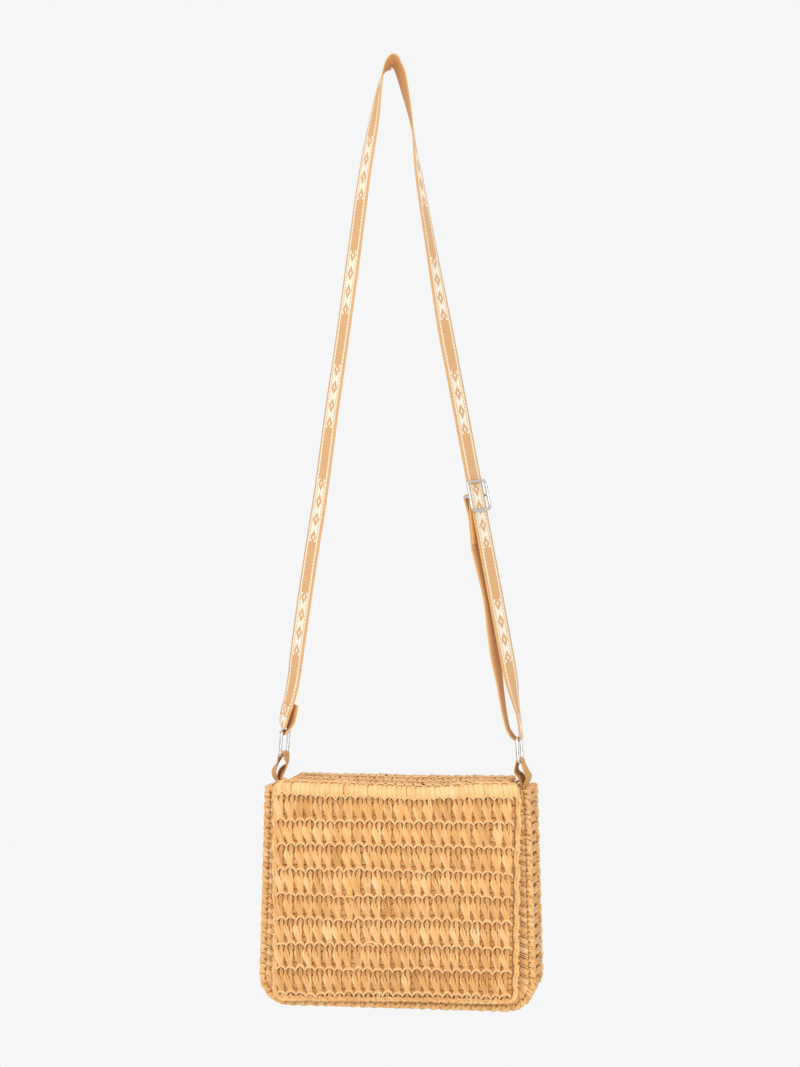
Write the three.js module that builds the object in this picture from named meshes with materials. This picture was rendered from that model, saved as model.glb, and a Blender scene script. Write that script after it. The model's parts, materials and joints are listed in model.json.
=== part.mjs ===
// Crossbody purse of crocheted straw, hanging by its strap.
// Millimetres, +Z up, front towards -Y, +X to the right. The origin is the hanging point: in the middle of
// the strap's width, level with the highest point of its inner face.
import * as THREE from "three";

// Clearances
const GAP = 0.3; // between neighbouring pieces
const TAB_PLAY = 0.45; // beside a tab in its pocket

// Bag body
const BAG_X = 6.5; // middle of the bag, sideways
const BAG_Y = 9.3; // middle of the bag's depth
const RIM_Z = -618; // upper edge of the panels
const BOTTOM_Z = -802;
const HALF_TOP = 112; // half width at the rim
const HALF_BOTTOM = 116.5;
const CORNER_R = 24; // lower corners
const PANEL_T = 4; // crocheted fabric
const PANEL_INNER = 25; // from the middle of the depth to a panel's inner face
const GUSSET_HALF = 24; // half of the gusset's width
const SEAM_R = 2.6; // seam rows
const SEAM_INSET = 2.8; // from the outline to a seam row's middle
const LINING_T = 0.8;
const LINING_INSET = 9;
const CORNER_STEPS = 8; // facets of a rounded corner

// Flap
const FLAP_TOP_HALF = 94; // half width of the part over the top
const FLAP_HALF = 103; // half width of the front part
const FLAP_BOTTOM_Z = -795.5;
const FLAP_CORNER_R = 12;
const FOLD_R = 2.2; // rolled rows at the two folds
const FOLD_Z = -614.2;
const BACK_FOLD_Y = 27; // from the middle of the depth
const FRONT_FOLD_Y = -35;
const FOLD_CLEAR = 2.6; // from a fold's axis to the fabric that turns about it

// Magnetic snap
const SNAP_Z = -765;
const SNAP_R = 9;
const SNAP_BORE_R = 3.4;
const STUD_R = 3;

// Webbing, rings and slider
const WEB_W = 25;
const WEB_T = 1.4;
const TAB_W = 24;
const CREST_TILT = 20; // degrees, of the strap where it hangs
const RING_WIRE_R = 1.4;
const RING_HALF_W = 15.2; // to the wire's middle, along Y
const RING_HALF_H = 10; // to the bars' middles
const RING_CORNER_R = 2.6;
const RING_LEAN = 4; // degrees, upper bar inwards
const LEFT_RING = new THREE.Vector3(-93.8, 0, -583);
const RIGHT_RING = new THREE.Vector3(108, 0, -586);
const SLIDER_WIRE_R = 1.2;
const SLIDER_HALF_W = 15.2;
const SLIDER_HALF_L = 12.4;
const SLIDER_CORNER_R = 3.5;
const SLIDER_Z = -372;
const SEWN_LENGTH = 40; // the strap's end, sewn round the slider's centre bar

// The right leg is straight along this line, and has one twist there
const LEG_START = new THREE.Vector3(45.2, 0, -232);
const LEG_END = new THREE.Vector3(99.8, 0, -520);
const LEG_TWIST = 23;

const WIRE_SIDES = 10;
const rad = THREE.MathUtils.degToRad;
const Y_AXIS = new THREE.Vector3(0, 1, 0);

const straw = { color: 0xe2ae73, roughness: 0.85, metalness: 0 };
const cotton = { color: 0xc9a27a, roughness: 0.9, metalness: 0 };
const webbing = { color: 0xdca368, roughness: 0.8, metalness: 0 };
const steel = { color: 0xc8c8cc, roughness: 0.25, metalness: 1 };

const purse = new THREE.Group();
purse.name = "crossbody_purse";

function add(name, geometry, look) {
  const mesh = new THREE.Mesh(geometry, new THREE.MeshStandardMaterial(look));
  mesh.name = name;
  purse.add(mesh);
}

// A closed solid through rings of points with equal counts. A looped one has no ends.
function loft(rings, looped = false) {
  const sides = rings[0].length;
  const faces = [];
  const spans = looped ? rings.length : rings.length - 1;
  for (let i = 0; i < spans; i += 1) {
    const next = (i + 1) % rings.length;
    for (let k = 0; k < sides; k += 1) {
      const side = (k + 1) % sides;
      const a = i * sides + k;
      const b = i * sides + side;
      const c = next * sides + k;
      const d = next * sides + side;
      faces.push(a, b, d, a, d, c);
    }
  }
  if (!looped) {
    const last = (rings.length - 1) * sides;
    for (let k = 1; k < sides - 1; k += 1) {
      faces.push(0, k + 1, k);
      faces.push(last, last + k, last + k + 1);
    }
  }
  const geometry = new THREE.BufferGeometry();
  const flat = rings.flat().flatMap((p) => [p.x, p.y, p.z]);
  geometry.setAttribute("position", new THREE.Float32BufferAttribute(flat, 3));
  geometry.setIndex(faces);
  geometry.computeVertexNormals();
  return geometry;
}

// Stations along a run of points: place, direction, width direction and face direction.
function stations(points, widthOf, looped = false) {
  const count = points.length;
  return points.map((p, i) => {
    const before = looped ? points[(i + count - 1) % count] : points[Math.max(i - 1, 0)];
    const after = looped ? points[(i + 1) % count] : points[Math.min(i + 1, count - 1)];
    const along = after.clone().sub(before).normalize();
    const width = widthOf(i, along);
    width.addScaledVector(along, -width.dot(along)).normalize();
    return { p, along, width, face: along.clone().cross(width) };
  });
}

function offset(station, across, out) {
  return station.p.clone().addScaledVector(station.width, across).addScaledVector(station.face, out);
}

function flatSection(width, thickness) {
  return (s) => [
    offset(s, -width / 2, -thickness / 2),
    offset(s, width / 2, -thickness / 2),
    offset(s, width / 2, thickness / 2),
    offset(s, -width / 2, thickness / 2),
  ];
}

function roundSection(radius) {
  return (s) =>
    Array.from({ length: WIRE_SIDES }, (_, k) => {
      const turn = (2 * Math.PI * k) / WIRE_SIDES;
      return offset(s, radius * Math.cos(turn), radius * Math.sin(turn));
    });
}

function sweep(points, widthOf, section, looped = false) {
  return loft(stations(points, widthOf, looped).map(section), looped);
}

// Smooth run through control points of { p, twist }; the twist turns the width direction about the run,
// from +Y.
function twistedRun(controls, step) {
  const curve = new THREE.CatmullRomCurve3(
    controls.map((c) => c.p),
    false,
    "centripetal",
  );
  const points = [];
  const twists = [];
  const last = controls.length - 1;
  for (let i = 0; i < last; i += 1) {
    const length = controls[i].p.distanceTo(controls[i + 1].p);
    const parts = Math.max(1, Math.round(length / step));
    for (let k = 0; k < parts; k += 1) {
      points.push(curve.getPoint((i + k / parts) / last));
      twists.push(THREE.MathUtils.lerp(controls[i].twist, controls[i + 1].twist, k / parts));
    }
  }
  points.push(controls[last].p.clone());
  twists.push(controls[last].twist);
  const widthOf = (i, along) => {
    const across = Y_AXIS.clone().addScaledVector(along, -along.y).normalize();
    return across.applyAxisAngle(along, rad(twists[i]));
  };
  return { points, widthOf };
}

function at(x, z, twist, y = 0) {
  return { p: new THREE.Vector3(x, y, z), twist };
}

// Control points round a bar that runs along Y, from one angle to another in the XZ plane.
function roundBar(bar, radius, from, to, count, twist = 0) {
  return Array.from({ length: count }, (_, k) => {
    const angle = rad(from + ((to - from) * k) / (count - 1));
    return at(bar.x + radius * Math.cos(angle), bar.z + radius * Math.sin(angle), twist, bar.y);
  });
}

// Rings -----------------------------------------------------------------------------------------------

// Corner points of a rounded rectangle in its own plane, as [across, along] pairs.
function roundedLoop(halfAcross, halfAlong, radius, steps = 5) {
  const loop = [];
  const corners = [
    [1, 1, 0],
    [-1, 1, 90],
    [-1, -1, 180],
    [1, -1, 270],
  ];
  for (const [sx, sy, start] of corners) {
    for (let k = 0; k <= steps; k += 1) {
      const angle = rad(start + (90 * k) / steps);
      loop.push([
        sx * (halfAcross - radius) + radius * Math.cos(angle),
        sy * (halfAlong - radius) + radius * Math.sin(angle),
      ]);
    }
  }
  return loop;
}

// A wire loop in the plane of two directions.
function wireLoop(centre, across, along, loop, wireRadius) {
  const points = loop.map(([a, b]) => centre.clone().addScaledVector(across, a).addScaledVector(along, b));
  const normal = across.clone().cross(along).normalize();
  return sweep(points, () => normal.clone(), roundSection(wireRadius), true);
}

// inwards is +1 for the left ring and -1 for the right one.
function ringAxis(inwards) {
  return new THREE.Vector3(inwards * Math.sin(rad(RING_LEAN)), 0, Math.cos(rad(RING_LEAN)));
}

const ringLoop = roundedLoop(RING_HALF_W, RING_HALF_H, RING_CORNER_R);
add("left_ring", wireLoop(LEFT_RING, Y_AXIS, ringAxis(1), ringLoop, RING_WIRE_R), steel);
add("right_ring", wireLoop(RIGHT_RING, Y_AXIS, ringAxis(-1), ringLoop, RING_WIRE_R), steel);

const leftUpperBar = LEFT_RING.clone().addScaledVector(ringAxis(1), RING_HALF_H);
const leftLowerBar = LEFT_RING.clone().addScaledVector(ringAxis(1), -RING_HALF_H);
const rightUpperBar = RIGHT_RING.clone().addScaledVector(ringAxis(-1), RING_HALF_H);
const rightLowerBar = RIGHT_RING.clone().addScaledVector(ringAxis(-1), -RING_HALF_H);

// Strap -----------------------------------------------------------------------------------------------

const WRAP_R = RING_WIRE_R + GAP + WEB_T / 2;
const LAYER = WEB_T + GAP; // between the middles of two webbing layers that lie together
// The strap lies over its hook with the front edge up, and that edge is level with the origin.
const CREST_Z = WEB_T / 2 - (WEB_W / 2) * Math.sin(rad(CREST_TILT));

// The straight leg that the slider runs on.
const LEG_STEP = 24;
const legPoints = [];
const legLength = LEG_START.distanceTo(LEG_END);
for (let s = 0; s < legLength; s += LEG_STEP) {
  legPoints.push({ p: LEG_START.clone().lerp(LEG_END, s / legLength), twist: LEG_TWIST });
}
legPoints.push({ p: LEG_END.clone(), twist: LEG_TWIST * 0.9 });

// Control points beside a bar, as [sideways, up, twist] from its middle.
function beside(bar, places) {
  return places.map(([dx, dz, twist]) => at(bar.x + dx, bar.z + dz, twist));
}

// Wraps start and end a little past the level of the bar's middle.
const PAST_LEVEL = 5;
const RUN_STEP = 9; // between stations along the strap

const longRun = twistedRun(
  [
    // The end that is folded back behind the left ring and sewn
    ...beside(leftUpperBar, [
      [3.4, 24, 0],
      [2.5, 14, 0],
    ]),
    ...roundBar(leftUpperBar, WRAP_R, PAST_LEVEL, -180 - PAST_LEVEL, 7),
    ...beside(leftUpperBar, [
      [-1, 9, 0],
      [0.5, 14, 0],
      [1.5, 24, 2],
    ]),
    // The left leg, on its way up
    at(-86.3, -528, 20),
    at(-82.5, -503, 30),
    at(-72.6, -435, 38),
    at(-62, -368, 38),
    at(-52.8, -300, 37),
    at(-42.7, -232, 37),
    at(-33.4, -165, 37),
    at(-24, -97, 34),
    at(-16, -52, 29),
    // Over the hook
    at(-11.8, -27, 20, -0.8),
    at(-8.8, -15, 13, -1.6),
    at(-5.8, -9, 3, -1.9),
    at(-2.9, -5.1, -9, -1.2),
    at(0, CREST_Z, -CREST_TILT),
    at(2.9, -5.1, -21, 1.2),
    at(5.2, -9.5, -23, 1.9),
    at(7.4, -16, -24, 1.6),
    at(10.2, -27, -21, 0.8),
    // The right leg, on its way down
    at(15.6, -52, -12),
    at(22, -97, 5),
    at(33.4, -165, 14),
    ...legPoints,
    at(101.9, -531, 17),
    at(104.4, -544, 8),
    at(107.4, -558, 1),
    ...roundBar(rightUpperBar, WRAP_R, PAST_LEVEL, -135, 6),
    ...beside(rightUpperBar, [
      [-4.6, 0.6, 0],
      [-6.4, 3, 0],
    ]),
  ],
  RUN_STEP,
);
add("strap_long_run", sweep(longRun.points, longRun.widthOf, flatSection(WEB_W, WEB_T)), webbing);

// Slider ----------------------------------------------------------------------------------------------

const down = LEG_END.clone().sub(LEG_START).normalize();
const sliderAt = LEG_START.clone().lerp(LEG_END, (LEG_START.z - SLIDER_Z) / (LEG_START.z - LEG_END.z));
const across = Y_AXIS.clone().applyAxisAngle(down, rad(LEG_TWIST));
const out = down.clone().cross(across);

const FRONT_BAR = WEB_T / 2 + GAP + SLIDER_WIRE_R; // outwards from the strap's middle
const SEWN_R = SLIDER_WIRE_R + GAP + WEB_T / 2;
const CENTRE_BAR = -(LAYER + SEWN_R);

function onSlider(alongDown, outwards, sideways = 0) {
  return sliderAt
    .clone()
    .addScaledVector(down, alongDown)
    .addScaledVector(out, outwards)
    .addScaledVector(across, sideways);
}

const frameLoop = roundedLoop(SLIDER_HALF_W, SLIDER_HALF_L, SLIDER_CORNER_R, 4);
add("slider_frame", wireLoop(onSlider(0, FRONT_BAR), across, down, frameLoop, SLIDER_WIRE_R), steel);

// The centre bar runs behind the strap, and its ends turn forwards to the frame's sides.
const crank = FRONT_BAR - 2 * SLIDER_WIRE_R - GAP;
const CRANK_BEND = 1.6;
const CRANK_EASE = 0.5;
const halfBar = [
  [CENTRE_BAR, SLIDER_HALF_W - CRANK_BEND],
  [CENTRE_BAR + CRANK_EASE, SLIDER_HALF_W - CRANK_EASE],
  [CENTRE_BAR + CRANK_BEND, SLIDER_HALF_W],
  [crank, SLIDER_HALF_W],
];
const barPoints = [
  ...halfBar.map(([forwards, sideways]) => onSlider(0, forwards, -sideways)).reverse(),
  ...halfBar.map(([forwards, sideways]) => onSlider(0, forwards, sideways)),
];
add(
  "slider_centre_bar",
  sweep(barPoints, () => down.clone(), roundSection(SLIDER_WIRE_R)),
  steel,
);

// The strap's end comes up behind, turns over the centre bar and is sewn down on itself.
const SEWN_LEAN = 0.11; // backwards for each millimetre down
const LEAN_START = 4; // below the bar
const sewnLean = (d) => SEWN_LEAN * Math.max(d - LEAN_START, 0);
const sewnPoints = [];
for (const d of [SEWN_LENGTH, 30, 20, 12, 6]) {
  sewnPoints.push(onSlider(d, -LAYER - sewnLean(d)));
}
for (const degrees of [0, 45, 90, 135, 180]) {
  const turn = rad(degrees);
  sewnPoints.push(onSlider(-SEWN_R * Math.sin(turn), CENTRE_BAR + SEWN_R * Math.cos(turn)));
}
const CLOSED_BY = 20; // below the bar, where the two layers meet
const BACK_START = SEWN_LENGTH + 4;
for (const d of [5, 12, CLOSED_BY, 30, SEWN_LENGTH, BACK_START]) {
  const close = THREE.MathUtils.smoothstep(d, 0, CLOSED_BY);
  const apart = THREE.MathUtils.lerp(2 * SEWN_R, LAYER, close);
  sewnPoints.push(onSlider(d, -LAYER - sewnLean(d) - apart));
}
add(
  "strap_sewn_end",
  sweep(sewnPoints, () => across.clone(), flatSection(WEB_W, WEB_T)),
  webbing,
);

// The run from the right ring back up to the sewn end.
const backTop = onSlider(BACK_START + 2 * GAP, -2 * LAYER - sewnLean(BACK_START + 2 * GAP));
const backRun = twistedRun(
  [
    ...beside(rightUpperBar, [
      [-6.8, 3.6, 0],
      [-8.6, 6.6, 0],
    ]),
    at(95.6, -557, -3),
    at(91.5, -531, -4),
    at(88, -508, -6, 0.6),
    at(86, -488, -10, 1.2),
    at(82.6, -458, -18, 2.4),
    { p: backTop, twist: -LEG_TWIST },
  ],
  RUN_STEP,
);
add("strap_back_run", sweep(backRun.points, backRun.widthOf, flatSection(WEB_W, WEB_T)), webbing);

// Tabs ------------------------------------------------------------------------------------------------

const POCKET_MIDDLE = HALF_TOP - PANEL_T - TAB_PLAY - WEB_T - GAP / 2; // from the bag's middle
const TAB_END_Z = RIM_Z - 16;
const TAB_CLOSED_Z = RIM_Z - 5; // below this the two layers lie together
const TAB_MOUTH_Z = RIM_Z + 3;
const TAB_WAIST_Z = RIM_Z + 9;
const TAB_STEP = 4; // between stations along a tab

// side is +1 on the right and -1 on the left.
function tab(bar, side) {
  const base = BAG_X + side * POCKET_MIDDLE;
  const wrap = roundBar(bar, WRAP_R, side > 0 ? 190 : -10, side > 0 ? -10 : 190, 7);
  // One leg, from its sewn end to just under the bar; way is -1 for the inner leg and +1 for the outer.
  const leg = (way, waist, shoulder) => {
    const x = base + (way * side * LAYER) / 2;
    return [
      at(x, TAB_END_Z, 0),
      at(x, TAB_CLOSED_Z, 0),
      at(x, TAB_MOUTH_Z, 0),
      at(base + way * side * waist, TAB_WAIST_Z, 0),
      at(bar.x + way * side * shoulder, bar.z - 8, 0),
    ];
  };
  const run = twistedRun([...leg(-1, 2, 3.6), ...wrap, ...leg(1, 1.3, 5.3).reverse()], TAB_STEP);
  return sweep(run.points, run.widthOf, flatSection(TAB_W, WEB_T));
}
add("left_tab", tab(leftLowerBar, -1), webbing);
add("right_tab", tab(rightLowerBar, 1), webbing);

// Bag body --------------------------------------------------------------------------------------------

// Outline of the bag seen from the front, from the upper left round the bottom to the upper right.
function outline(inset, topZ = RIM_Z) {
  const radius = CORNER_R - inset;
  const points = [new THREE.Vector2(BAG_X - HALF_TOP + inset, topZ)];
  for (const side of [-1, 1]) {
    for (let k = 0; k <= CORNER_STEPS; k += 1) {
      const turn = rad(side < 0 ? 180 + (90 * k) / CORNER_STEPS : 270 + (90 * k) / CORNER_STEPS);
      points.push(
        new THREE.Vector2(
          BAG_X + side * (HALF_BOTTOM - CORNER_R) + radius * Math.cos(turn),
          BOTTOM_Z + CORNER_R + radius * Math.sin(turn),
        ),
      );
    }
  }
  points.push(new THREE.Vector2(BAG_X + HALF_TOP - inset, topZ));
  return points;
}

// Extrudes a front view outline from one depth to another.
function slab(points, fromY, toY) {
  const geometry = new THREE.ExtrudeGeometry(new THREE.Shape(points), {
    depth: toY - fromY,
    bevelEnabled: false,
  });
  return geometry.rotateX(Math.PI / 2).translate(0, toY, 0);
}

const PANEL_INSET = SEAM_INSET + SEAM_R + GAP;
const frontFace = BAG_Y - PANEL_INNER - PANEL_T;
add("front_panel", slab(outline(PANEL_INSET), frontFace, BAG_Y - PANEL_INNER), straw);
add("back_panel", slab(outline(PANEL_INSET), BAG_Y + PANEL_INNER, BAG_Y + PANEL_INNER + PANEL_T), straw);

const gussetPoints = [...outline(0), ...outline(PANEL_T).reverse()];
add("gusset", slab(gussetPoints, BAG_Y - GUSSET_HALF, BAG_Y + GUSSET_HALF), straw);

function seam(depth) {
  const points = outline(SEAM_INSET).map((v) => new THREE.Vector3(v.x, depth, v.y));
  return sweep(points, () => Y_AXIS.clone(), roundSection(SEAM_R));
}
const SEAM_Y = GUSSET_HALF + GAP + SEAM_R;
add("front_edging", seam(BAG_Y - SEAM_Y), straw);
add("back_edging", seam(BAG_Y + SEAM_Y), straw);

// The lining is an open box of thin cloth, made as a deep tray: outer skin, rim and inner skin.
function tray(outerInset, wall, halfDepth, topZ) {
  const skins = [
    { inset: outerInset, half: halfDepth },
    { inset: outerInset + wall, half: halfDepth - wall },
  ];
  const front = (s, depth) => outline(s.inset, topZ).map((v) => new THREE.Vector3(v.x, depth, v.y));
  const [skin, hollow] = skins.map((s) => [front(s, BAG_Y - s.half), front(s, BAG_Y + s.half)]);
  const count = skin[0].length;
  const positions = [...skin[0], ...skin[1], ...hollow[0], ...hollow[1]];
  const faces = [];
  for (const [start, flip] of [
    [0, false],
    [2 * count, true],
  ]) {
    const push = (a, b, c) => faces.push(start + a, start + (flip ? c : b), start + (flip ? b : c));
    for (let k = 0; k < count - 1; k += 1) {
      push(k, k + 1 + count, k + 1);
      push(k, k + count, k + 1 + count);
    }
    for (let k = 1; k < count - 1; k += 1) {
      push(0, k, k + 1);
      push(count, count + k + 1, count + k);
    }
  }
  const corners = [0, count - 1, 2 * count - 1, count];
  corners.forEach((a, k) => {
    const b = corners[(k + 1) % corners.length];
    faces.push(a, b, 2 * count + b, a, 2 * count + b, 2 * count + a);
  });
  const geometry = new THREE.BufferGeometry();
  const flat = positions.flatMap((p) => [p.x, p.y, p.z]);
  geometry.setAttribute("position", new THREE.Float32BufferAttribute(flat, 3));
  geometry.setIndex(faces);
  geometry.computeVertexNormals();
  return geometry;
}
const LINING_HALF = PANEL_INNER - GAP;
const LINING_TOP_Z = RIM_Z - 1;
add("bag_lining", tray(LINING_INSET, LINING_T, LINING_HALF, LINING_TOP_Z), cotton);

// Flap ------------------------------------------------------------------------------------------------

function box(halfX, fromY, toY, fromZ, toZ) {
  const geometry = new THREE.BoxGeometry(2 * halfX, toY - fromY, toZ - fromZ);
  return geometry.translate(BAG_X, (fromY + toY) / 2, (fromZ + toZ) / 2);
}

function rod(halfX, y, z, radius) {
  const points = [-1, 1].map((side) => new THREE.Vector3(BAG_X + side * halfX, y, z));
  return sweep(points, () => Y_AXIS.clone(), roundSection(radius));
}

const backFoldY = BAG_Y + BACK_FOLD_Y;
const frontFoldY = BAG_Y + FRONT_FOLD_Y;
const topFrom = frontFoldY + FOLD_CLEAR;
const topTo = backFoldY - FOLD_CLEAR;
const topUnder = FOLD_Z - PANEL_T / 2;
add("flap_back_fold", rod(FLAP_TOP_HALF, backFoldY, FOLD_Z, FOLD_R), straw);
add("flap_front_fold", rod(FLAP_TOP_HALF, frontFoldY, FOLD_Z, FOLD_R), straw);
add("flap_top_panel", box(FLAP_TOP_HALF, topFrom, topTo, topUnder, topUnder + PANEL_T), straw);
add(
  "flap_top_lining",
  box(FLAP_TOP_HALF - 3, topFrom + 1, topTo - 1, topUnder - GAP - LINING_T, topUnder - GAP),
  cotton,
);

// Outline of the front part of the flap.
function flapOutline(inset) {
  const radius = FLAP_CORNER_R - inset;
  const points = [new THREE.Vector2(BAG_X - FLAP_HALF + inset, FOLD_Z - FOLD_CLEAR)];
  for (const side of [-1, 1]) {
    for (let k = 0; k <= CORNER_STEPS; k += 1) {
      const turn = rad(side < 0 ? 180 + (90 * k) / CORNER_STEPS : 270 + (90 * k) / CORNER_STEPS);
      points.push(
        new THREE.Vector2(
          BAG_X + side * (FLAP_HALF - FLAP_CORNER_R) + radius * Math.cos(turn),
          FLAP_BOTTOM_Z + FLAP_CORNER_R + radius * Math.sin(turn),
        ),
      );
    }
  }
  points.push(new THREE.Vector2(BAG_X + FLAP_HALF - inset, FOLD_Z - FOLD_CLEAR));
  return points;
}

const flapInner = frontFoldY;
const flapOuter = frontFoldY - PANEL_T;
const FLAP_SEAM_R = PANEL_T / 2 + 0.2;
const flapPanelInset = 2 * FLAP_SEAM_R + GAP;
add("flap_front_panel", slab(flapOutline(flapPanelInset), flapOuter, flapInner), straw);
add(
  "flap_edging",
  sweep(
    flapOutline(FLAP_SEAM_R).map((v) => new THREE.Vector3(v.x, (flapOuter + flapInner) / 2, v.y)),
    () => Y_AXIS.clone(),
    roundSection(FLAP_SEAM_R),
  ),
  straw,
);
const flapLiningY = flapInner + GAP;
add(
  "flap_front_lining",
  slab(flapOutline(flapPanelInset + 2), flapLiningY, flapLiningY + LINING_T),
  cotton,
);

// Magnetic snap ---------------------------------------------------------------------------------------

// Turns a profile of [radius, depth] pairs about the snap's axis; depth grows towards the front.
function turned(profile, y) {
  const points = profile.map(([r, d]) => new THREE.Vector2(r, d));
  return new THREE.LatheGeometry(points, 28).rotateX(Math.PI).translate(BAG_X, y, SNAP_Z);
}

// Profile of a round plate with a bore, closed on itself.
function washerProfile(bore, radius, thickness) {
  return [
    [bore, 0],
    [radius, 0],
    [radius, thickness],
    [bore, thickness],
    [bore, 0],
  ];
}

const SOCKET_T = 2.2;
const WASHER_T = 0.5;
const STUD_PLATE_T = 1.0;
const socketY = frontFace - GAP;
add("snap_socket", turned(washerProfile(SNAP_BORE_R, SNAP_R, SOCKET_T), socketY), steel);
add(
  "snap_socket_washer",
  turned(washerProfile(SNAP_BORE_R, SNAP_R - 1, WASHER_T), BAG_Y - LINING_HALF + LINING_T + GAP + WASHER_T),
  steel,
);
const studY = flapLiningY + LINING_T + GAP;
const STUD_LENGTH = 2.4;
add(
  "snap_stud",
  turned(
    [
      [0, -STUD_LENGTH],
      [STUD_R, -STUD_LENGTH],
      [STUD_R, 0],
      [SNAP_R, 0],
      [SNAP_R, STUD_PLATE_T],
      [0, STUD_PLATE_T],
    ],
    studY + STUD_PLATE_T,
  ),
  steel,
);

export default purse;
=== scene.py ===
import json
import math

import bpy
import numpy as np
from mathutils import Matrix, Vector


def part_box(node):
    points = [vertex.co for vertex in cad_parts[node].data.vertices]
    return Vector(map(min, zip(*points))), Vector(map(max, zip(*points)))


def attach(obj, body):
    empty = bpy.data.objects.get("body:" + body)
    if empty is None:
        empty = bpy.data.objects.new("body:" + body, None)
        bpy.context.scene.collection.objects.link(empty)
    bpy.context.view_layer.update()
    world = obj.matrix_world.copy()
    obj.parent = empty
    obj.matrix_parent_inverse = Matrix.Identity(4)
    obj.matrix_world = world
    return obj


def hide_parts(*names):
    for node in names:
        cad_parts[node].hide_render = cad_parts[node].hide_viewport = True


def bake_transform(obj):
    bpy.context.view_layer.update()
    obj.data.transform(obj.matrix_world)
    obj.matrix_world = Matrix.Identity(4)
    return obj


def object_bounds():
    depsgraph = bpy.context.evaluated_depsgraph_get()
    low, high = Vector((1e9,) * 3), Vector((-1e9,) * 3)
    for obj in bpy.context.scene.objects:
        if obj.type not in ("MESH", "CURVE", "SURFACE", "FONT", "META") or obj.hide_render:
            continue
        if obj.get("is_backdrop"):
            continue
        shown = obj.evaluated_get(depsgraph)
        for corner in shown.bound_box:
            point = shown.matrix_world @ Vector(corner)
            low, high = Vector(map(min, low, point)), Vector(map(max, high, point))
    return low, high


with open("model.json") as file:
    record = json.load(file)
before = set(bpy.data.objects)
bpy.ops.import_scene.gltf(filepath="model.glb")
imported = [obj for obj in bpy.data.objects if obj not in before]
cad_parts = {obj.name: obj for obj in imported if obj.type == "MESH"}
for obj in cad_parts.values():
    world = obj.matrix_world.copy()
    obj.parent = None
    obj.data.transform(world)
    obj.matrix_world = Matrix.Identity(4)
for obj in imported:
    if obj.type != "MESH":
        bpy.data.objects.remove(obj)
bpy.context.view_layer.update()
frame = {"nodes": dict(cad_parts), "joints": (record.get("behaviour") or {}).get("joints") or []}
MM = 0.001

# Places read from the CAD part, in millimetres


def node_box(name):
    low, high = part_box(name)
    return np.array(low) / MM, np.array(high) / MM


joints = {j["name"]: j for j in frame["joints"]}


def pivot(name):
    return np.array(joints[name]["pos_m"]) / MM


gusset_low, gusset_high = node_box("gusset")
lining_low, lining_high = node_box("bag_lining")
flap_low, flap_high = node_box("flap_edging")
front_y = node_box("front_edging")[0][1]
back_y = node_box("back_edging")[1][1]

BAG_X = (gusset_low[0] + gusset_high[0]) / 2
BAG_Y = (gusset_low[1] + gusset_high[1]) / 2
BOTTOM_Z = gusset_low[2]
RIM_Z = gusset_high[2]
HALF_BOTTOM = (gusset_high[0] - gusset_low[0]) / 2
HALF_TOP = HALF_BOTTOM - 4.5  # the sides lean in towards the rim
CORNER_R = 24.0

# Lines, tables and swept strands


def unit(v):
    return v / np.maximum(np.linalg.norm(v, axis=-1, keepdims=True), 1e-9)


def run_of(points):
    """How far along its own line each of the points (N, D) is."""
    return np.concatenate([[0], np.linalg.norm(np.diff(points, axis=0), axis=1).cumsum()])


def columns_at(places, run, values):
    """The columns of the values (N, D) that belong to run, at other places along it."""
    values = np.broadcast_to(values, (len(run), np.shape(values)[-1]))
    return [np.interp(places, run, column) for column in values.T]


def at_run(places, run, values):
    return np.stack(columns_at(places, run, values), axis=1)


def table(*columns):
    """Columns side by side, the short ones repeated."""
    return np.stack(np.broadcast_arrays(*columns), axis=-1)


def smooth(controls, count):
    """Catmull-Rom samples through control points: (S, K, D) to (S, count, D)."""
    controls = np.asarray(controls, float)
    t = np.linspace(0, controls.shape[1] - 1, count)
    i = np.minimum(t.astype(int), controls.shape[1] - 2)
    f = (t - i)[None, :, None]
    first = 2 * controls[:, :1] - controls[:, 1:2]
    last = 2 * controls[:, -1:] - controls[:, -2:-1]
    padded = np.concatenate([first, controls, last], axis=1)
    p0, p1, p2, p3 = (padded[:, i + k] for k in range(4))
    return 0.5 * (
        2 * p1
        + (p2 - p0) * f
        + (2 * p0 - 5 * p1 + 4 * p2 - p3) * f**2
        + (3 * p1 - p0 - 3 * p2 + p3) * f**3
    )


def fit(piece, body, slot, *nodes):
    """Fixes a piece to its body and hides the CAD nodes it stands for."""
    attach(piece, body)
    if nodes:
        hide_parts(*nodes)


def arc(centre, radius, start, stop, count):
    """Points (count, 2) on an arc between two angles in degrees."""
    turn = np.radians(np.linspace(start, stop, count))
    return np.array(centre) + radius * np.stack([np.cos(turn), np.sin(turn)], axis=1)


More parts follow.
